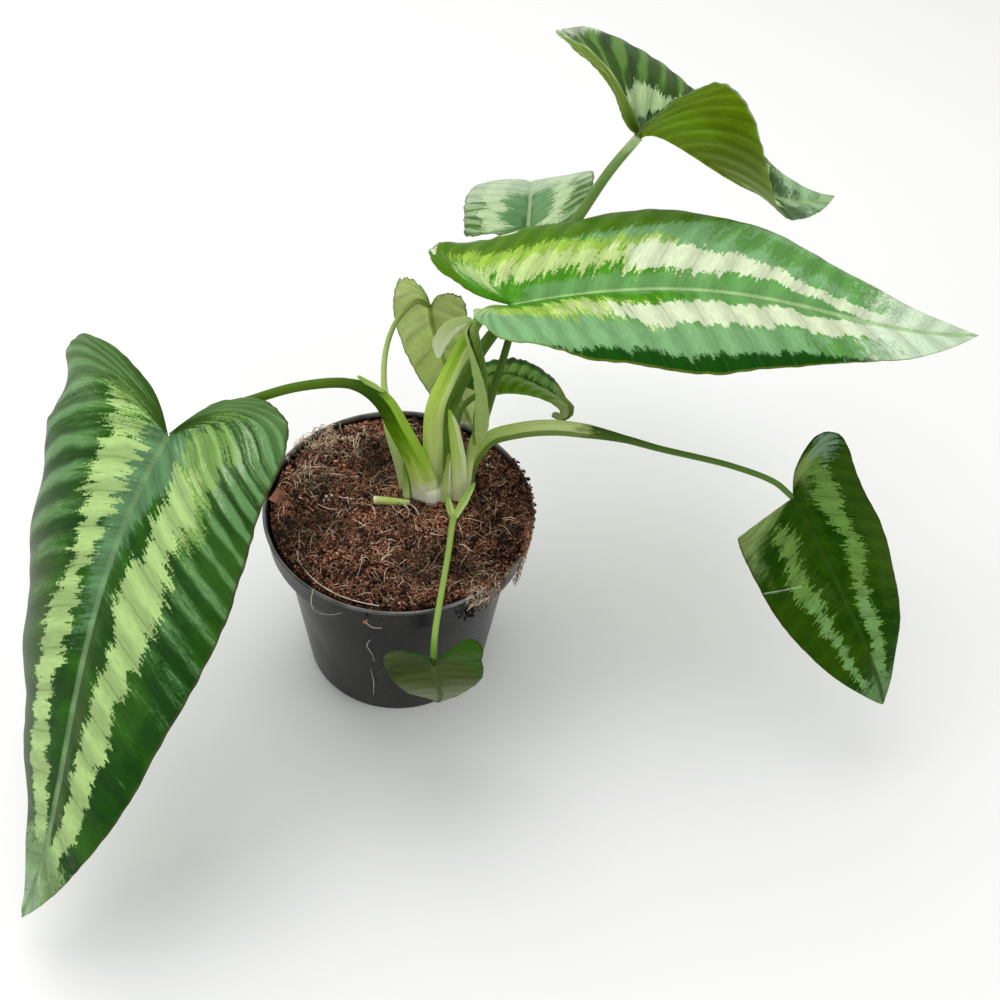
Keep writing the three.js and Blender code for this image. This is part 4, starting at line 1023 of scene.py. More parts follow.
def tube(stem, pace=0.9, sides=36, grooves=0.0, tip=False):
    """Rings round a route with both ends closed to a point, and the marks of each ring point.

    A sheath is grooved along its facing side, stands out in a wing at both edges, and fades out at its end.
    """
    place, direction, across, through, wide, deep, t, length = along_route(stem, pace)
    angle = np.linspace(0, 2 * np.pi, sides, endpoint=False)
    turn, share = np.meshgrid(angle, t)
    from_front = np.abs((turn + np.pi / 2 + np.pi) % (2 * np.pi) - np.pi)
    sheathed = np.clip((stem["sheath"] - share) / 0.12, 0, 1)
    form = 1 + 0.02 * np.sin(9 * turn + 3 * share) - grooves * sheathed * np.exp(-((from_front / 0.45) ** 2))
    form += 0.14 * sheathed * np.exp(-(((from_front - 1.25) / 0.22) ** 2))
    ring = place[:, None] + across[:, None] * (wide[:, None] * np.cos(turn) * form)[..., None]
    ring += through[:, None] * (deep[:, None] * np.sin(turn) * form)[..., None]
    end = place[-1] + direction[-1] * (TIP_LENGTH if tip else 0)
    first, last = (np.repeat(point[None, None], sides, 1) for point in (place[0], end))
    ring = np.concatenate([first, ring, last])
    turn, share, sheathed = (np.concatenate([v[:1], v, v[-1:]]) for v in (turn, share, sheathed))
    marks = {
        "grain": np.stack([np.cos(turn), np.sin(turn), share * length], -1).reshape(-1, 3),
        "along": share,
        "edge": sheathed * np.clip((stem.get("wing_side", 1) * np.cos(turn) - 0.15) / 0.35, 0, 1),
    }
    return ring, marks


# %% [markdown]
# ## The skin of a stalk
#
# A stalk is pale at its foot and darker further up, and the wings of its sheath have a colour of their own.
# A picture could be painted round it, but a ramp of colours along the route is changed with a few numbers.
# Noise that is stretched lengthwise gives the fine stripes of its fibres.

# %% The skin of a stalk
def colour_ramp(tree, value, stops):
    """A colour that runs through stops, each a place and a colour as the screen shows it."""
    node = add_node(tree, "ShaderNodeValToRGB", {"Fac": value})
    elements = node.color_ramp.elements
    while len(elements) < len(stops):
        elements.new(0.5)
    for element, (place, colour) in zip(elements, stops):
        element.position = place
        element.color = shade(*colour)
    return node.outputs["Color"]


FROM_THE_FOOT = (-0.3, -0.2)


def stalk_material(name, skin, wing, rough=0.4, wing_from=FROM_THE_FOOT):
    """Colour along the stalk, a wing of another colour, and lengthwise fibres in both colour and relief."""
    material, tree, surface = new_material(name, rough, 0.1)
    grain = attribute(tree, "grain", "Vector")
    fibre = noise(tree, stretched(tree, grain, (7, 7, 0.05)), 1, 3, 0.6)
    mottle = noise(tree, stretched(tree, grain, (1.2, 1.2, 0.12)), 1, 3)
    shifted = swayed(tree, attribute(tree, "along"), mottle, 0.12)
    colour = colour_ramp(tree, shifted, skin)
    torn = swayed(tree, attribute(tree, "edge"), mottle, 0.8)
    wing_cover = calc(tree, "MULTIPLY", ramp(tree, torn, 0.3, 0.7, 0, 0.85), ramp(tree, shifted, *wing_from))
    colour = blend(tree, wing_cover, colour, shade(*wing))
    finish_surface(tree, surface, toned(tree, colour, fibre, 0.5), fibre, 0.3, 0.0004)
    return material


for name, stem in STALKS.items():
    wing_from = stem.get("wing_from", FROM_THE_FOOT)
    material = stalk_material(f"{name}_skin", stem["skin"], stem["wing"], wing_from=wing_from)
    ring, marks = tube(stem, grooves=0.22, tip="bract" in name)
    stalk = piece(f"{name}_stem", ring, ring_faces(ring), material, marks, node=name)


# %% [markdown]
# ## Free ends of sheaths
#
# Where a sheath ends it stands free of its stalk: as a pointed tip on the left stalk, and as two open ears
# on the front one. They could be drawn out of the stalk's own mesh, but short flat tubes leave the stalk's
# rings as they are.

# %% Free ends of sheaths
FREE_ENDS = {
    "left_sheath_tip": {
        "facing": [0, -1, 0.2], "sheath": 0.0, "of": "left_stalk",
        "route": [[-3.6, 0.6, 160.2, 1.2, 0.5], [-10.6, -0.3, 169.6, 1.9, 0.7],
                  [-16.3, -0.6, 175.4, 0.7, 0.4]],
    },
    "left_sheath_ear": {
        "facing": [0.5, -1, 0.3], "sheath": 1.0, "of": "front_stalk",
        "route": [[23.8, -7.5, 98.6, 1.4, 1], [22.2, -5, 101.5, 1.8, 0.6], [21.2, -1.5, 104.8, 1.1, 0.5]],
    },
    "right_sheath_ear": {
        "facing": [-0.5, -1, 0.3], "sheath": 1.0, "of": "front_stalk",
        "route": [[24.4, -7.5, 98.6, 1.4, 1], [28.5, -2.6, 104, 1.8, 0.6], [32.6, 1.5, 110.3, 0.8, 0.5]],
    },
}
ear_skin = stalk_material("sheath_ear_skin", [(0, (176, 200, 110)), (1, (140, 180, 76))], (196, 214, 140))
for name, end in FREE_ENDS.items():
    ring, marks = tube(end, pace=0.4, sides=28, grooves=0.3, tip=True)
    flap = piece(name, ring, ring_faces(ring), ear_skin, marks, node=end["of"])


# %% [markdown]
# ## The leaf that is still rolled
#
# The newest leaf stands in the middle, wound round itself like a paper bag, on a short stalk. It is a sheet
# whose radius grows with the angle and shrinks towards the tip, which bends over. A thin pale flap of an
# old sheath hangs off its top, to the left.

# %% The leaf that is still rolled
# The rows hold x, y, z and the inner radius
ROLL_ROUTE = [
    [32.4, 3.8, 134, 1.5], [33.3, 4.4, 140, 2.2], [34, 5.8, 155, 1.6],
    [32.6, 8, 171, 1.8], [29, 11, 187, 1.7], [28, 12, 194.5, 1],
]
ROLL_TURNS, ROLL_STEP, ROLL_SHEET = 1.3, 1.45, 0.5
ROLL_STALK = {
    "facing": [0, -1, 0.3], "sheath": 0.0,
    "route": [[28.5, 9.5, 84, 2.6, 2.6], [29.5, 9, 106, 2.5, 2.5], [30.5, 7.5, 122, 1.9, 1.9],
              [31.8, 5.2, 133, 2.2, 2], [33.3, 4.4, 140, 2.4, 2.2]],
}
FLAP = {
    "facing": [0.3, -1, 0.2], "sheath": 1.0,
    "route": [[15.5, 12, 175, 0.8, 0.5], [16.2, 12.5, 183, 3.4, 0.5], [20.5, 13, 190.5, 3.6, 0.5],
              [27, 12.5, 195, 2, 0.6]],
}


def wound_sheet(rows=150, columns=96):
    """The radius is the inner one plus the step times the turns wound, closing in at the tip and the foot."""
    route = np.array(ROLL_ROUTE, float)
    t = np.linspace(0, 1, rows)
    place = route_at(route[:, :3], t)
    direction = unit(np.gradient(place, axis=0))
    across = unit(np.cross(direction, [0, -1, 0]))
    through = np.cross(direction, across)
    bend = np.clip((t - 0.9) / 0.1, 0, 1) ** 2
    place = place + across * (1.6 * bend)[:, None]
    wound, share = np.meshgrid(np.linspace(0, ROLL_TURNS, columns), t)
    closing = np.sqrt(np.clip((1 - share) / 0.12, 0.01, 1)) * (0.62 + 0.38 * np.clip(share / 0.3, 0, 1))
    inner = np.interp(share, np.linspace(0, 1, len(route)), route[:, 3])
    waves = 0.1 * np.sin(60 * share + 9 * wound) + 0.08 * np.sin(23 * share)
    waves -= 0.35 * np.exp(-(((wound - 1.15) / 0.05) ** 2))
    faces = []
    for inset in (0, ROLL_SHEET):
        radius = (inner + ROLL_STEP * wound + waves - inset) * closing
        around = 2 * np.pi * (wound - ROLL_TURNS) + np.radians(395 - 190 * share)
        spot = place[:, None] + across[:, None] * (radius * np.cos(around))[..., None]
        faces.append(spot + through[:, None] * (radius * np.sin(around))[..., None])
    ring = np.concatenate([faces[0], faces[1][:, ::-1]], 1)
    both = lambda values: np.concatenate([values, values[:, ::-1]], 1)
    streak = np.stack([both(share), both(wound), 0 * both(share)], -1).reshape(-1, 3)
    return ring, {"along": both(share), "wound": both(wound), "streak": streak}


def end_caps(rows, wide):
    """Faces between the outer and inner half of the first and last ring, which close a thin sheet's ends."""
    k = np.arange(wide // 2 - 1)
    first = np.stack([k, wide - 1 - k, wide - 2 - k, k + 1], -1)
    last = first[:, ::-1] + (rows - 1) * wide
    return np.concatenate([first, last])


# %% [markdown]
# ## The skin of the rolled leaf
#
# The rolled leaf is plain green, with veins that climb aslant because the sheet is wound. The slit at its
# inner edge is darkened as painted shade, and its outer edge shows as a light line. A mark says how far the
# sheet is wound at each point, so both can be painted by it. The leaf's stalk and the flap are tubes as
# before.

# %% The skin of the rolled leaf
def roll_material():
    """Green with aslant veins, painted shade in the slit at the inner edge, a light line at the outer one."""
    material, tree, surface = new_material("rolled_leaf_skin", 0.42, 0.08)
    along, wound = attribute(tree, "along"), attribute(tree, "wound")
    climb = calc(tree, "MULTIPLY_ADD", wound, -0.22, along)
    vein = wave(tree, climb, 70)
    cells = noise(tree, stretched(tree, attribute(tree, "streak", "Vector"), (90, 9, 0)), 1, 3)
    stops = [(0, (114, 146, 50)), (0.3, (74, 102, 16)), (0.7, (80, 108, 20)), (1, (130, 158, 76))]
    colour = colour_ramp(tree, along, stops)
    colour = blend(tree, ramp(tree, vein, 0.0, 0.6, 0.14, 0), colour, shade(160, 182, 116))
    # Painted shade in the slit at the sheet's inner edge.
    slit = calc(tree, "MULTIPLY", ramp(tree, wound, 0.24, 0.34, 1, 0), ramp(tree, along, 0.45, 0.6, 0.5, 1))
    colour = blend(tree, slit, colour, shade(34, 66, 14))
    colour = blend(tree, ramp(tree, wound, 0.94, 0.98, 0, 0.7), colour, shade(164, 188, 112))
    height = calc(tree, "MULTIPLY_ADD", vein, 0.4, cells)
    finish_surface(tree, surface, toned(tree, colour, cells, 0.6), height, 0.2, 0.0002)
    return material


ring, marks = wound_sheet()
faces = np.concatenate([ring_faces(ring), end_caps(*ring.shape[:2])])
rolled = piece("rolled_leaf_sheet", ring, faces, roll_material(), marks, node="rolled_leaf")
ring, marks = tube(ROLL_STALK)
stalk_colours = [(0, (226, 232, 196)), (0.35, (206, 218, 150)), (0.6, (168, 192, 106)), (1, (132, 158, 78))]
roll_stalk_skin = stalk_material("rolled_leaf_stalk_skin", stalk_colours, (190, 208, 140))
rolled = piece("rolled_leaf_stem", ring, ring_faces(ring), roll_stalk_skin, marks, node="rolled_leaf")
ring, marks = tube(FLAP, pace=0.4, sides=40, tip=True)
flap_colours = [(0, (216, 228, 190)), (0.6, (184, 204, 138)), (1, (164, 190, 108))]
flap_skin = stalk_material("loose_flap_skin", flap_colours, (214, 226, 186), rough=0.5)
flap = piece("loose_flap", ring, ring_faces(ring), flap_skin, marks, node="rolled_leaf")


# %% [markdown]
# ## Crown and cut stub
#
# All stalks rise from a short white fleshy crown that is hardly above the mix. An old stalk's cut end lies
# beside it, yellow-green, with its pale wet cut to the left and a few white rootlets at its other end.
# Both could be modelled by hand, but a profile turned round an axis and a tube need only a few numbers.

# %% Crown and cut stub
CROWN_X, CROWN_Y = 14.5, 11
CROWN_SIDES, CROWN_GRAIN = 72, 19
CROWN_PROFILE = [(0, 84), (9.5, 84), (9.3, 90), (9, 96), (8.8, 99),
                 (8.5, 101.5), (8, 103), (7, 103.8), (4, 104), (0, 104)]


def lathe(profile, sides, centre=(0, 0)):
    """A grid of rings: each profile point (radius, height) turned round the upright axis."""
    radius, height = np.array(profile, float).T
    angle = np.linspace(0, 2 * np.pi, sides, endpoint=False)
    across, up = np.broadcast_arrays(radius[:, None], height[:, None])
    x, y = centre[0] + across * np.cos(angle), centre[1] + across * np.sin(angle)
    return np.stack([x, y, up + 0 * angle], -1)


crown_points = lathe(CROWN_PROFILE, CROWN_SIDES, (CROWN_X, CROWN_Y))
angle = np.linspace(0, 2 * np.pi, CROWN_SIDES, endpoint=False)
flutes = 1 + 0.04 * np.sin(7 * angle) + 0.025 * np.sin(17 * angle + 1)
crown_points[..., :2] = (crown_points[..., :2] - [CROWN_X, CROWN_Y]) * flutes[:, None] + [CROWN_X, CROWN_Y]
up = np.linspace(0, 1, len(CROWN_PROFILE))[:, None]
crown_grain = np.broadcast_arrays(np.cos(angle), np.sin(angle), CROWN_GRAIN * up)
crown_marks = {
    "grain": np.stack(crown_grain, -1).reshape(-1, 3),
    "along": np.broadcast_to(up, crown_points.shape[:2]),
    "edge": np.zeros(crown_points.shape[:2]),
}
crown_colours = [(0, (250, 250, 238)), (0.6, (240, 244, 222)), (0.8, (222, 232, 186)), (1, (184, 208, 104))]
crown_skin = stalk_material("crown_skin", crown_colours, (232, 236, 208), rough=0.5)
crown = piece("fleshy_crown", crown_points, ring_faces(crown_points), crown_skin, crown_marks, node="crown")

STUB = {
    "facing": [0, 0, 1], "sheath": 0.0,
    "route": [[-11.2, 3.2, 97.7, 1.8, 1.8], [-4, 2.4, 97.8, 1.8, 1.8], [4.6, 1.5, 97.6, 1.2, 1.4]],
}
ring, marks = tube(STUB, pace=0.4)
stub_colours = [(0, (236, 238, 206)), (0.05, (226, 230, 180)), (0.12, (192, 206, 128)),
                (0.5, (176, 196, 104)), (1, (196, 212, 128))]
stub_skin = stalk_material("cut_stub_skin", stub_colours, (200, 214, 140))
stub = piece("cut_stub_rod", ring, ring_faces(ring), stub_skin, marks, node="cut_stub")


# %% [markdown]
# ## The nursery pot
#
# The pot is thin black plastic, moulded in one piece: a tapered body, a collar that steps out so that pots
# stack, and a small rolled bead at the rim that catches the light. A Spin of a drawn profile would give
# the same wall. Here the profile's radii are named numbers, so that the mix can be fitted to them.

# %% The nursery pot
POT_HEIGHT, RIM_RADIUS, COLLAR_RADIUS, BODY_TOP_RADIUS, BASE_RADIUS = 98, 60, 58.3, 52.4, 43.4
COLLAR_FOOT, WALL, BEAD, BASE_THICKNESS = 84, 1.2, 1.6, 2
POT_SIDES, BEAD_STEPS = 192, 12

outside = [
    (BASE_RADIUS - 1, 0), (BASE_RADIUS - 0.3, 0.3), (BASE_RADIUS, 1), (BODY_TOP_RADIUS - 0.05, 82),
    (BODY_TOP_RADIUS + 0.2, 82.9), (COLLAR_RADIUS - 0.8, COLLAR_FOOT),
    (COLLAR_RADIUS - 0.2, COLLAR_FOOT + 0.2), (COLLAR_RADIUS, COLLAR_FOOT + 0.8),
    (RIM_RADIUS - BEAD / 2, POT_HEIGHT - BEAD * 1.6),
]
bead_x, bead_z = RIM_RADIUS - BEAD / 2, POT_HEIGHT - BEAD / 2
bead_angle = np.radians(np.linspace(-60, 150, BEAD_STEPS))
bead = [(bead_x + BEAD / 2 * math.cos(a), bead_z + BEAD / 2 * math.sin(a)) for a in bead_angle]
inside = [
    (COLLAR_RADIUS - WALL + 0.6, POT_HEIGHT - BEAD * 1.6), (COLLAR_RADIUS - WALL, COLLAR_FOOT + 1.4),
    (BODY_TOP_RADIUS - WALL, COLLAR_FOOT - 0.4), (BASE_RADIUS - WALL, BASE_THICKNESS),
]
wall_points = lathe(outside + bead + inside, POT_SIDES)

# %% [markdown]
# ## The pot's base and its drain holes
#
# Water leaves the pot by six round holes in its base. A Boolean modifier could cut them, but it leaves
# long thin faces. Instead each sixth of the base is a grid of rings, which change evenly from the sector's
# border to the ring of its hole.

# %% The pot's base and its drain holes
SECTORS, DRAIN_RING, DRAIN_RADIUS = 6, 31, 4
HOLE_RINGS, SPOKE_STEPS = 7, 17


def base_grid(number):
    """One sixth of the base, its lower and then its upper side.

    Each side is a grid of rings that change evenly from the sector's border to the ring of its drain hole.
    """
    sector = 2 * np.pi / SECTORS
    middle = (number + 0.5) * sector
    corner = np.array([-0.5, 0.5]) * sector + middle
    arc = np.linspace(corner[0], corner[1], POT_SIDES // SECTORS + 1)
    spoke = np.linspace(0, 1, SPOKE_STEPS)[:, None]
    first, last = (spoke * np.array([math.cos(a), math.sin(a)]) for a in corner)
    centre = DRAIN_RING * np.array([math.cos(middle), math.sin(middle)])
    share = np.linspace(0, 1, HOLE_RINGS)[:, None, None]
    sheets = []
    for height, radius in ((0, BASE_RADIUS - 1), (BASE_THICKNESS, BASE_RADIUS - WALL)):
        rim = np.stack([np.cos(arc), np.sin(arc)], 1) * radius
        border = np.concatenate([first[:-1] * radius, rim, last[::-1][1:-1] * radius])
        hole = centre + DRAIN_RADIUS * unit(border - centre)
        flat = border * (1 - share) + hole * share
        sheets.append(np.concatenate([flat, np.full((*flat.shape[:2], 1), float(height))], -1))
    return np.concatenate([sheets[0], sheets[1][::-1]])


grids = [wall_points] + [base_grid(k) for k in range(SECTORS)]
pot_points = np.concatenate([grid.reshape(-1, 3) for grid in grids])
starts = np.cumsum([0] + [grid.shape[0] * grid.shape[1] for grid in grids])
pot_faces = np.concatenate([ring_faces(grid) + start for grid, start in zip(grids, starts)])


# %% [markdown]
# ## Black plastic
#
# The plastic is satin black and no longer clean: it has smears, specks of dried mix and pale flecks. Its bead
# carries a patchy grey painted highlight. A picture could carry them, but it would have a seam. Each is a
# noise that is cut off at a level and laid over the black.

# %% Black plastic
def pot_material():
    """Satin black plastic, fine moulded grain, dried-mix specks, and a shining bead with a painted highlight.
    """
    material, tree, surface = new_material("black_plastic", 0.3, 0.13)
    place = add_node(tree, "ShaderNodeTexCoord").outputs["Object"]
    smear, speck = noise(tree, place, 28, 4), noise(tree, place, 420, 2)
    colour = blend(tree, ramp(tree, smear, 0.45, 0.7, 0, 0.3), shade(8, 5, 6), shade(34, 27, 26))
    colour = blend(tree, ramp(tree, speck, 0.69, 0.73, 0, 0.6), colour, shade(78, 62, 50))
    fleck = ramp(tree, noise(tree, place, 800, 2), 0.7, 0.74, 0, 0.5)
    colour = blend(tree, fleck, colour, shade(150, 140, 130))
    up = add_node(tree, "ShaderNodeSeparateXYZ", {0: place}).outputs["Z"]
    bead_shine = ramp(tree, up, 0.0962, 0.0968, 0.13, 0.9)
    tree.links.new(bead_shine, surface.inputs["Specular IOR Level"])
    # Painted highlight: a patchy light grey on the bead at the top of the rim.
    patchy = ramp(tree, noise(tree, place, 90, 3), 0.35, 0.6, 0.2, 0.75)
    painted_bead_highlight = calc(tree, "MULTIPLY", ramp(tree, up, 0.0955, 0.0972), patchy)
    colour = blend(tree, painted_bead_highlight, colour, shade(112, 108, 106))
    tree.links.new(calc(tree, "MULTIPLY_ADD", smear, 0.25, 0.18), surface.inputs["Roughness"])
    finish_surface(tree, surface, colour, noise(tree, place, 1500, 2), 0.15, 0.0003)
    return material


pot = piece("nursery_pot", pot_points, pot_faces, pot_material(), {}, node="pot")


# %% [markdown]
# ## Potting mix
#
# The mix is coir and bark crumbs. Its surface is a disc of rings whose heights come from smooth random
# lattices. On it lie thousands of crumbs and fibres. Each crumb is a dented block of six faces, and each
# fibre a bent three-sided thread, all made in one array, so that they can be many. The mix is heaped to the
# right, where it spills over the rim.

# %% Potting mix
MIX_LEVEL, MIX_RISE, MIX_LUMPS, MIX_EDGE = 96.2, 2.6, 1.3, 56.6
MIX_SIDES, MIX_RINGS = 320, 130
LATTICE = 97


def ease(value, low, high):
    """From 0 at low to 1 at high, with soft ends."""
    part = np.clip((value - low) / (high - low), 0, 1)
    return part * part * (3 - 2 * part)


def lattice(x, y, size, seed):
    """Smooth random heights from -0.5 to 0.5: random numbers on a square lattice, eased between corners."""
    table = np.random.default_rng(seed).random((LATTICE, LATTICE))
    i, j = np.floor(x / size).astype(int), np.floor(y / size).astype(int)
    p, q = ease(x / size - i, 0, 1), ease(y / size - j, 0, 1)
    corners = [table[(i + a) % LATTICE, (j + b) % LATTICE] for a in (0, 1) for b in (0, 1)]
    near = corners[0] * (1 - q) + corners[1] * q
    far = corners[2] * (1 - q) + corners[3] * q
    return near * (1 - p) + far * p - 0.5


def mix_level(x, y):
    """The level, the heap at the right, and slow lumps that die out round the crown."""
    heap = MIX_RISE * ease(x, 24, 56)
    lumps = np.sin(0.31 * x + 1.3) * np.cos(0.27 * y - 0.6) + 0.6 * np.sin(0.53 * x - 0.47 * y + 2)
    lumps += 0.4 * np.cos(0.83 * x + 0.71 * y)
    calm = ease(np.hypot(x - CROWN_X, y - CROWN_Y), 8, 26)
    return MIX_LEVEL + heap + MIX_LUMPS * lumps * calm * 0.6


angle = np.linspace(0, 2 * np.pi, MIX_SIDES, endpoint=False)
radius = MIX_EDGE * np.linspace(1, 0, MIX_RINGS)[:, None]
x, y = radius * np.cos(angle), radius * np.sin(angle)
ROUGHNESS = [(1.2, 7, 4), (2.2, 3.1, 1), (1.5, 1.4, 2), (0.8, 0.7, 3)]
rough = sum(height * lattice(x, y, size, seed) for height, size, seed in ROUGHNESS)
top = np.stack([x, y, mix_level(x, y) + rough - 0.3], -1)
BURIED = [(0, 2.4), (BASE_RADIUS - WALL - 0.4, 2.4),
          (BODY_TOP_RADIUS - WALL - 0.5, 84.6), (COLLAR_RADIUS - WALL - 0.7, 86.2)]
mix_points = np.concatenate([lathe(BURIED, MIX_SIDES), top])


# %% [markdown]
# ## The colours of the mix
#
# Coir and bark have browns from near black to straw. Fine noise picks one of them from a ramp at each
# point, and a tone that the mesh keeps paints shade into the hollows and light onto the high places. A
# photograph of soil would repeat itself, and noise doesn't. Crumbs, fibres and roots take the same recipe
# in other colours.

# %% The colours of the mix
def mix_material(name, stops, rough=0.9):
    """Crumbs in several browns, painted shade in hollows, lighter and darker patches, shade at the right."""
    material, tree, surface = new_material(name, rough, 0.2)
    place = add_node(tree, "ShaderNodeTexCoord").outputs["Object"]
    crumb = noise(tree, place, 900, 4, 0.75)
    colour = colour_ramp(tree, crumb, stops)
    olive = ramp(tree, noise(tree, place, 34, 3), 0.52, 0.66, 0, 0.6)
    colour = blend(tree, olive, colour, shade(34, 28, 16))
    patchy = swayed(tree, attribute(tree, "tone"), noise(tree, place, 60, 3, 0.6), 1.7)
    to_the_right = add_node(tree, "ShaderNodeSeparateXYZ", {0: place}).outputs["X"]
    shadow = ramp(tree, to_the_right, 0.02, 0.05, 0, -0.12)
    tone = calc(tree, "MAXIMUM", calc(tree, "ADD", patchy, shadow), 0.12)
    finish_surface(tree, surface, toned(tree, colour, tone, 2.3), crumb, 0.9, 0.0007)
    return material


mix_colours = [(0.38, (4, 2, 1)), (0.5, (36, 16, 10)), (0.58, (112, 62, 44)), (0.66, (214, 166, 134))]
mix_skin = mix_material("coir_and_bark", mix_colours)
# Painted shade and light: the tone is lower in the hollows of the rough surface and higher on its bumps.
tone = np.concatenate([np.full((len(BURIED), MIX_SIDES), 0.5), 0.46 + 0.22 * rough])
mix = piece("mix_surface", mix_points, ring_faces(mix_points), mix_skin, {"tone": tone}, "potting_mix")


# %% [markdown]
# ## The form of a crumb
#
# Thousands of loose bits lie on the mix. A crumb is a block whose eight corners are drawn at random,
# turned and pressed into the surface. A particle system could strew copies of a few crumbs, but here each
# has a form of its own, and the seed makes every run draw the same ones.

# %% The form of a crumb
draw = np.random.default_rng(7)
CUBE = np.array([(x, y, z) for z in (-1, 1) for y in (-1, 1) for x in (-1, 1)], float)
CUBE_FACES = np.array([(0, 2, 3, 1), (4, 5, 7, 6), (0, 1, 5, 4), (2, 6, 7, 3), (0, 4, 6, 2), (1, 3, 7, 5)])
THREAD_SIDES, THREAD_STEPS, ROOT_SIDES = 3, 7, 10
BEYOND_STALKS, BEYOND_MIX, MIDDLE_TONE, CRUMB_TILT = 11, 57, 0.5, 0.12


def spots(count, reach=55.5):
    """Random places on the disc, kept off the crown by pushing them outwards from it."""
    far, way = reach * np.sqrt(draw.random(count)), draw.uniform(0, 2 * np.pi, count)
    place = np.stack([far * np.cos(way), far * np.sin(way)], -1)
    off = place - [CROWN_X, CROWN_Y]
    distance = np.linalg.norm(off, axis=1, keepdims=True)
    return np.where(distance < BEYOND_STALKS, place + off / distance * (BEYOND_STALKS - distance), place)


def crumbs(place, size, sink):
    """Eight corners for each crumb: a stretched cube, its corners shifted, turned round two axes."""
    count = len(place)
    corner = CUBE * (size[:, None] * draw.uniform(0.35, 1, (count, 3)))[:, None]
    corner = corner + size[:, None, None] * draw.uniform(-0.28, 0.28, (count, len(CUBE), 3))
    spin, tip = draw.uniform(0, 2 * np.pi, (2, count, 1))
    tip = tip * CRUMB_TILT
    x = corner[..., 0] * np.cos(tip) - corner[..., 2] * np.sin(tip)
    z = corner[..., 0] * np.sin(tip) + corner[..., 2] * np.cos(tip)
    level = mix_level(place[:, 0], place[:, 1])[:, None]
    east = place[:, :1] + (x * np.cos(spin) - corner[..., 1] * np.sin(spin))
    north = place[:, 1:] + (x * np.sin(spin) + corner[..., 1] * np.cos(spin))
    faces = (np.arange(count)[:, None, None] * len(CUBE) + CUBE_FACES).reshape(-1, 4)
    return np.stack([east, north, level + z - np.broadcast_to(sink, count)[:, None]], -1), faces


# %% [markdown]
# ## The form of a fibre
#
# Fibres lie on the mix in shallow arcs, and some hang over the rim. Blender's hair could be combed like
# that, but it has no faces to export. So each fibre is a thin closed tube with three sides, whose places
# follow the mix, and thousands of them are one array.

# %% The form of a fibre
def draped(flat, above):
    """Places over the mix, not lower than the rim where they cross it; beyond it they hang down."""
    far = np.linalg.norm(flat, axis=-1)
    over = np.clip(far - RIM_RADIUS - 0.3, 0, None)
    kept = flat * ((far - 0.8 * over) / far)[..., None]
    level = mix_level(kept[..., 0], kept[..., 1])
    level = np.where(far > BEYOND_MIX, np.maximum(level, POT_HEIGHT + 0.1), level) + above - 1.1 * over
    return np.concatenate([kept, level[..., None]], -1)


def threads(start, way, length, thick, bend, rise):
    """Closed thin tubes from a start in a direction, which swing aside as an arc and rise in the middle."""
    t = np.linspace(0, 1, THREAD_STEPS)[None, :]
    ahead, aside = np.stack([np.cos(way), np.sin(way)], -1), np.stack([-np.sin(way), np.cos(way)], -1)
    flat = start[:, None] + ahead[:, None] * (length[:, None] * t)[..., None]
    flat += aside[:, None] * (bend * length)[:, None, None] * (4 * t * (1 - t))[..., None]
    spot = draped(flat, rise[:, None] * np.sin(np.pi * t) + 0.3)
    direction = unit(np.gradient(spot, axis=1))
    side = unit(np.cross(direction, [0, 0, 1]))
    over = np.cross(side, direction)
    girth = thick[:, None] * np.where((t == 0) | (t == 1), 0.0, 1.0)
    turn = 2 * np.pi * np.arange(THREAD_SIDES) / THREAD_SIDES
    ring = spot[:, :, None] + side[:, :, None] * (girth[..., None] * np.cos(turn))[..., None]
    ring += over[:, :, None] * (girth[..., None] * np.sin(turn))[..., None]
    rows = len(start) * THREAD_STEPS
    faces = grid_faces(rows, THREAD_SIDES, ring=True).reshape(rows - 1, THREAD_SIDES, 4)
    inside = np.arange(rows - 1) % THREAD_STEPS != THREAD_STEPS - 1
    return ring.reshape(-1, 3), faces[inside].reshape(-1, 4)


# %% [markdown]
# ## Crumbs, chips, moss and perlite
#
# Dark bark crumbs and pale grains lie all over. The reddish chip, the moss and the first perlite grains
# lie about where the picture shows them. All crumbs of a kind are one mesh, because thousands of objects
# would be slow, and the mesh keeps a tone for each crumb.

# %% Crumbs, chips, moss and perlite
def scattered(name, points, faces, skin, tone, per_piece):
    """One mesh of many small parts with flat faces, and the tone that is given for each part."""
    marks = {"tone": np.repeat(tone, per_piece)}
    body = piece(name, points, faces, skin, marks, "potting_mix", smooth=False)


def scatter(name, place, size, skin, tones=None, sink=0.0):
    """One mesh of crumbs at the given places, with tones drawn from a range or all the middle one."""
    points, faces = crumbs(place, size, sink)
    tone = draw.uniform(*tones, len(place)) if tones else np.full(len(place), MIDDLE_TONE)
    scattered(name, points, faces, skin, tone, len(CUBE))


CRUMBS, GRAINS, MOSSY = 5200, 1300, 90
bark = mix_material("bark_crumb", [(0.37, (12, 5, 3)), (0.51, (88, 46, 33)), (0.64, (212, 156, 126))])
size = 0.3 + 1.5 * draw.random(CRUMBS) ** 3
scatter("bark_crumbs", spots(CRUMBS), size, bark, (0.05, 0.9), 0.1)

pale_bark = mix_material("pale_bark", [(0.3, (140, 104, 80)), (0.6, (206, 180, 154))])
size = draw.uniform(0.2, 0.5, GRAINS)
scatter("pale_grains", spots(GRAINS), size, pale_bark, (0.3, 0.6), -0.35)

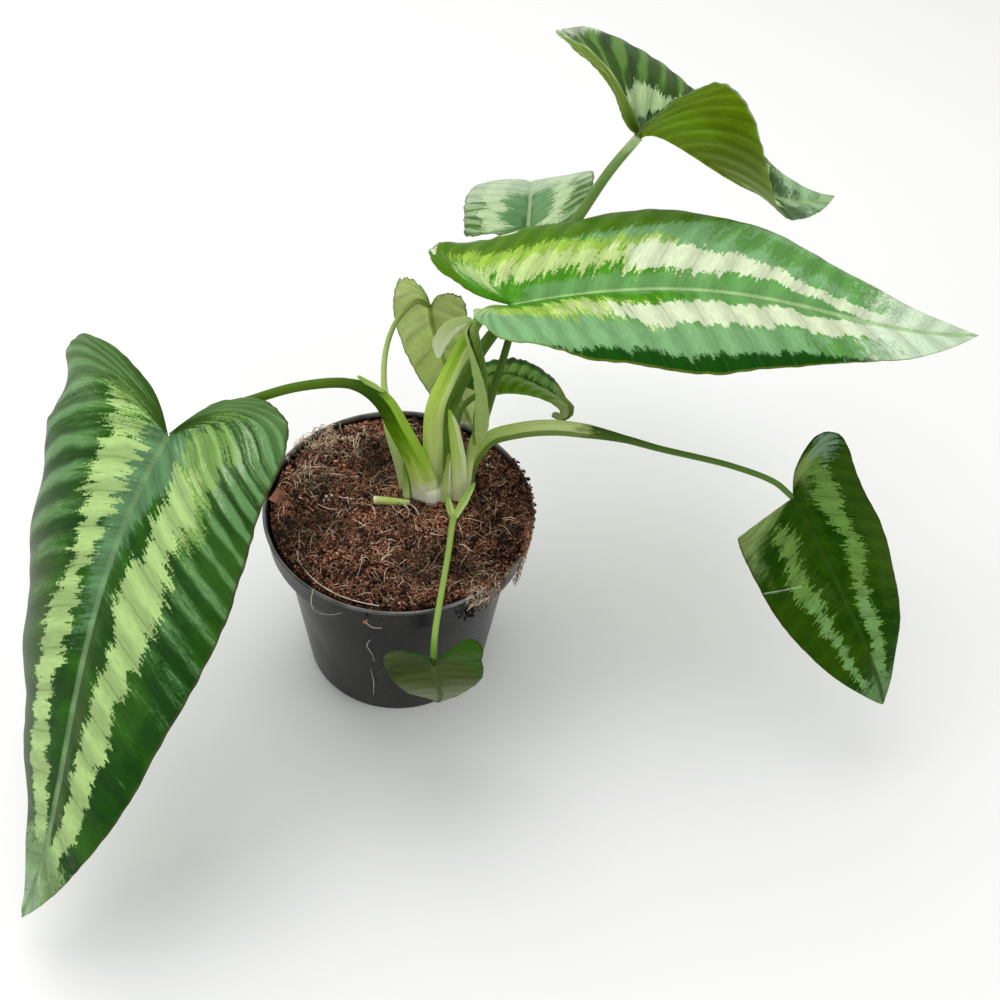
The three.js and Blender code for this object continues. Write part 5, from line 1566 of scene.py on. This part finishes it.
# A reddish chip in two parts by the left rim, one on the collar's front, and others: (x, y, size, sink)
CHIPS = np.array([
    (-53, 5, 4, -0.4), (-50, 1, 2.4, -0.4), (-13.9, -58.9, 1.1, 4.5), (18, -46, 1.4, 0),
    (44, 20, 1.6, 0), (-8, 44, 1.5, 0), (36, -20, 1.4, 0), (-38, 28, 1.6, 0),
])
red_bark = mix_material("red_bark", [(0.3, (110, 66, 50)), (0.7, (190, 134, 108))])
scatter("bark_chips", CHIPS[:, :2], CHIPS[:, 2], red_bark, sink=CHIPS[:, 3])

# Mossy crumbs at the left, and white perlite
moss = mix_material("moss", [(0.3, (14, 11, 6)), (0.7, (98, 86, 60))])
place = np.array([-38, 11]) + draw.normal(0, 1, (MOSSY, 2)) * [6.5, 4.5]
scatter("mossy_crumbs", place, draw.uniform(0.5, 1.6, MOSSY), moss, (0.2, 0.8), -0.3)
PERLITE = np.array([(-32.5, 5.3), (-31, 4), (-33.5, 3.6), (-30, 6.4), (40, 24),
                    (42, 22), (-5, -40), (12, -30), (-20, 20)])
perlite = mix_material("perlite", [(0, (214, 206, 194)), (1, (236, 230, 220))])
scatter("perlite_grains", PERLITE, np.linspace(0.9, 0.4, len(PERLITE)), perlite, sink=-0.5)


# %% [markdown]
# ## Fibres and straws
#
# Coir fibres are brown and lie everywhere. Fewer pale ones are finer, and a few pale straws are longer. One
# kind of fibre would be simpler, but the picture shows these three.

# %% Fibres and straws
def fibres(name, skin, middles, spread, lengths, thickness, rises, bends=0.25):
    """Threads in any direction, whose middles are the given places moved by a random spread."""
    count = len(middles)
    way = draw.uniform(0, 2 * np.pi, count)
    length, bend = draw.uniform(*lengths, count), draw.normal(0, bends, count)
    middles = middles + np.clip(draw.normal(0, 1, (count, 2)), -1.8, 1.8) * spread
    start = middles - 0.5 * length[:, None] * np.stack([np.cos(way), np.sin(way)], -1)
    thick, rise = draw.uniform(*thickness, count), draw.uniform(*rises, count)
    points, faces = threads(start, way, length, thick, bend, rise)
    scattered(name, points, faces, skin, draw.uniform(0.1, 1, count), THREAD_SIDES * THREAD_STEPS)


coir = mix_material("coir_fibre", [(0.34, (70, 38, 26)), (0.5, (150, 102, 76)), (0.66, (214, 174, 144))])
pale = mix_material("pale_fibre", [(0.3, (176, 150, 126)), (0.6, (226, 208, 184))])
fibres("coir_fibres", coir, spots(3000, 54), 0, (2, 8), (0.07, 0.19), (-0.5, 1.8), bends=0.15)
fibres("pale_fibres", pale, spots(520, 53), 0, (2, 7), (0.07, 0.14), (-0.3, 1.8), bends=0.12)
fibres("straws", pale, spots(190, 50), 0, (6, 13), (0.1, 0.17), (0.4, 2.2), bends=0.08)

# %% [markdown]
# ## What spills over the rim
#
# Fuzz spills over the rim at the right and the front, lies in looser tufts at the left, and hangs on the
# collar. Crumbs spill over too, and some cling to the collar. Each patch is a middle, a spread and a
# number, because a tuft is only read as a whole.

# %% What spills over the rim
SPILL = {
    "right": {"middle": (55.5, -16), "spread": (1.6, 14), "count": 520},
    "front_right": {"middle": (38, -43), "spread": (4.5, 3.5), "count": 420},
    "back_left": {"middle": (-31, 40), "spread": (9, 5), "count": 420},
    "left": {"middle": (-40, 20), "spread": (6, 6), "count": 120},
    "collar": {"middle": (38, -45), "spread": (4.5, 5), "count": 120, "lengths": (3.5, 10)},
    "hanging": {"middle": (34, -54), "spread": (2.2, 1.5), "count": 40, "lengths": (3, 8)},
}
for name, patch in SPILL.items():
    middles = np.tile(patch["middle"], (patch["count"], 1)).astype(float)
    skin = coir if name in ("right", "front_right") else pale
    lengths = patch.get("lengths", (1.5, 5))
    fibres(f"{name}_fuzz", skin, middles, patch["spread"], lengths, (0.06, 0.14), (0, 2.4))

# Crumbs that are spilt over the rim at the right
SPILT, CLINGING = 700, 70
way = draw.uniform(-0.95, 0.5, SPILT)
place = draw.uniform(54, 60.2, (SPILT, 1)) * np.stack([np.cos(way), np.sin(way)], -1)
scatter("spilt_crumbs", place, 0.25 + 0.7 * draw.random(SPILT) ** 2, bark, (0.05, 0.8), -0.6)

# Dark crumbs that cling to the collar at the front right, sunk from the mix's level down its wall
dark_bark = mix_material("dark_bark", [(0.35, (8, 4, 3)), (0.65, (74, 44, 32))])
way = np.radians(draw.normal(-57, 3.5, CLINGING))
place = 59.4 * np.stack([np.cos(way), np.sin(way)], -1)
size, sink = draw.uniform(0.35, 1, CLINGING), draw.uniform(0, 12, CLINGING)
scatter("clinging_crumbs", place, size, dark_bark, (0.05, 0.6), sink)

# %% [markdown]
# ## Surface roots
#
# A few pale roots lie on the mix, reach down the collar or cling to the pot's wall. They are seen one by
# one, so each has a route of its own, about where the picture shows it, and is a tube like a stalk.

# %% Surface roots
ROOTS = {
    "long_root": [[-43.5, -27, 98.2, 0.18, 0.18], [-42, -33, 98.8, 0.22, 0.22], [-36, -42, 98.7, 0.24, 0.24],
                  [-27, -49.5, 98.7, 0.22, 0.22], [-18, -53.5, 98.4, 0.2, 0.2], [-8, -56, 98.2, 0.15, 0.15]],
    "upper_rootlet": [[3.5, 1, 98.6, 0.4, 0.4], [7, -2, 98.2, 0.35, 0.35], [9, -6, 97.6, 0.15, 0.15]],
    "lower_rootlet": [[2, 0.5, 98, 0.4, 0.4], [4.5, -3.5, 97.6, 0.25, 0.25], [3.5, -7, 97.4, 0.15, 0.15]],
    "collar_root": [[-35.5, -47.8, 98.9, 0.14, 0.14], [-36.5, -49.9, 93, 0.15, 0.15],
                    [-35.2, -49.8, 86.5, 0.15, 0.15], [-31, -51.2, 86, 0.15, 0.15],
                    [-27.2, -53.6, 89, 0.14, 0.14], [-23.6, -55.8, 93, 0.09, 0.09]],
    "collar_thread": [[-13.6, -58.6, 90, 0.14, 0.14], [-10.5, -58.9, 87, 0.15, 0.15],
                      [-6.9, -59.4, 87.4, 0.15, 0.15]],
    "upper_curl": [[-12.3, -50.3, 66, 0.12, 0.12], [-13.8, -49, 60, 0.14, 0.14],
                   [-11.8, -48.8, 54, 0.14, 0.14], [-10.6, -48.4, 47, 0.14, 0.14]],
    "lower_curl": [[-12.5, -47, 39, 0.12, 0.12], [-11.2, -46.2, 28, 0.14, 0.14],
                   [-11.4, -44.8, 15, 0.09, 0.09]],
}
root_skin = mix_material("root_skin", [(0.3, (204, 184, 160)), (0.6, (240, 228, 212))], 0.7)
for name, route in ROOTS.items():
    ring, _ = tube({"facing": [0, 0, 1], "sheath": 0.0, "route": route}, pace=0.5, sides=ROOT_SIDES)
    scattered(name, ring, ring_faces(ring), root_skin, np.full(len(ring), MIDDLE_TONE), ROOT_SIDES)
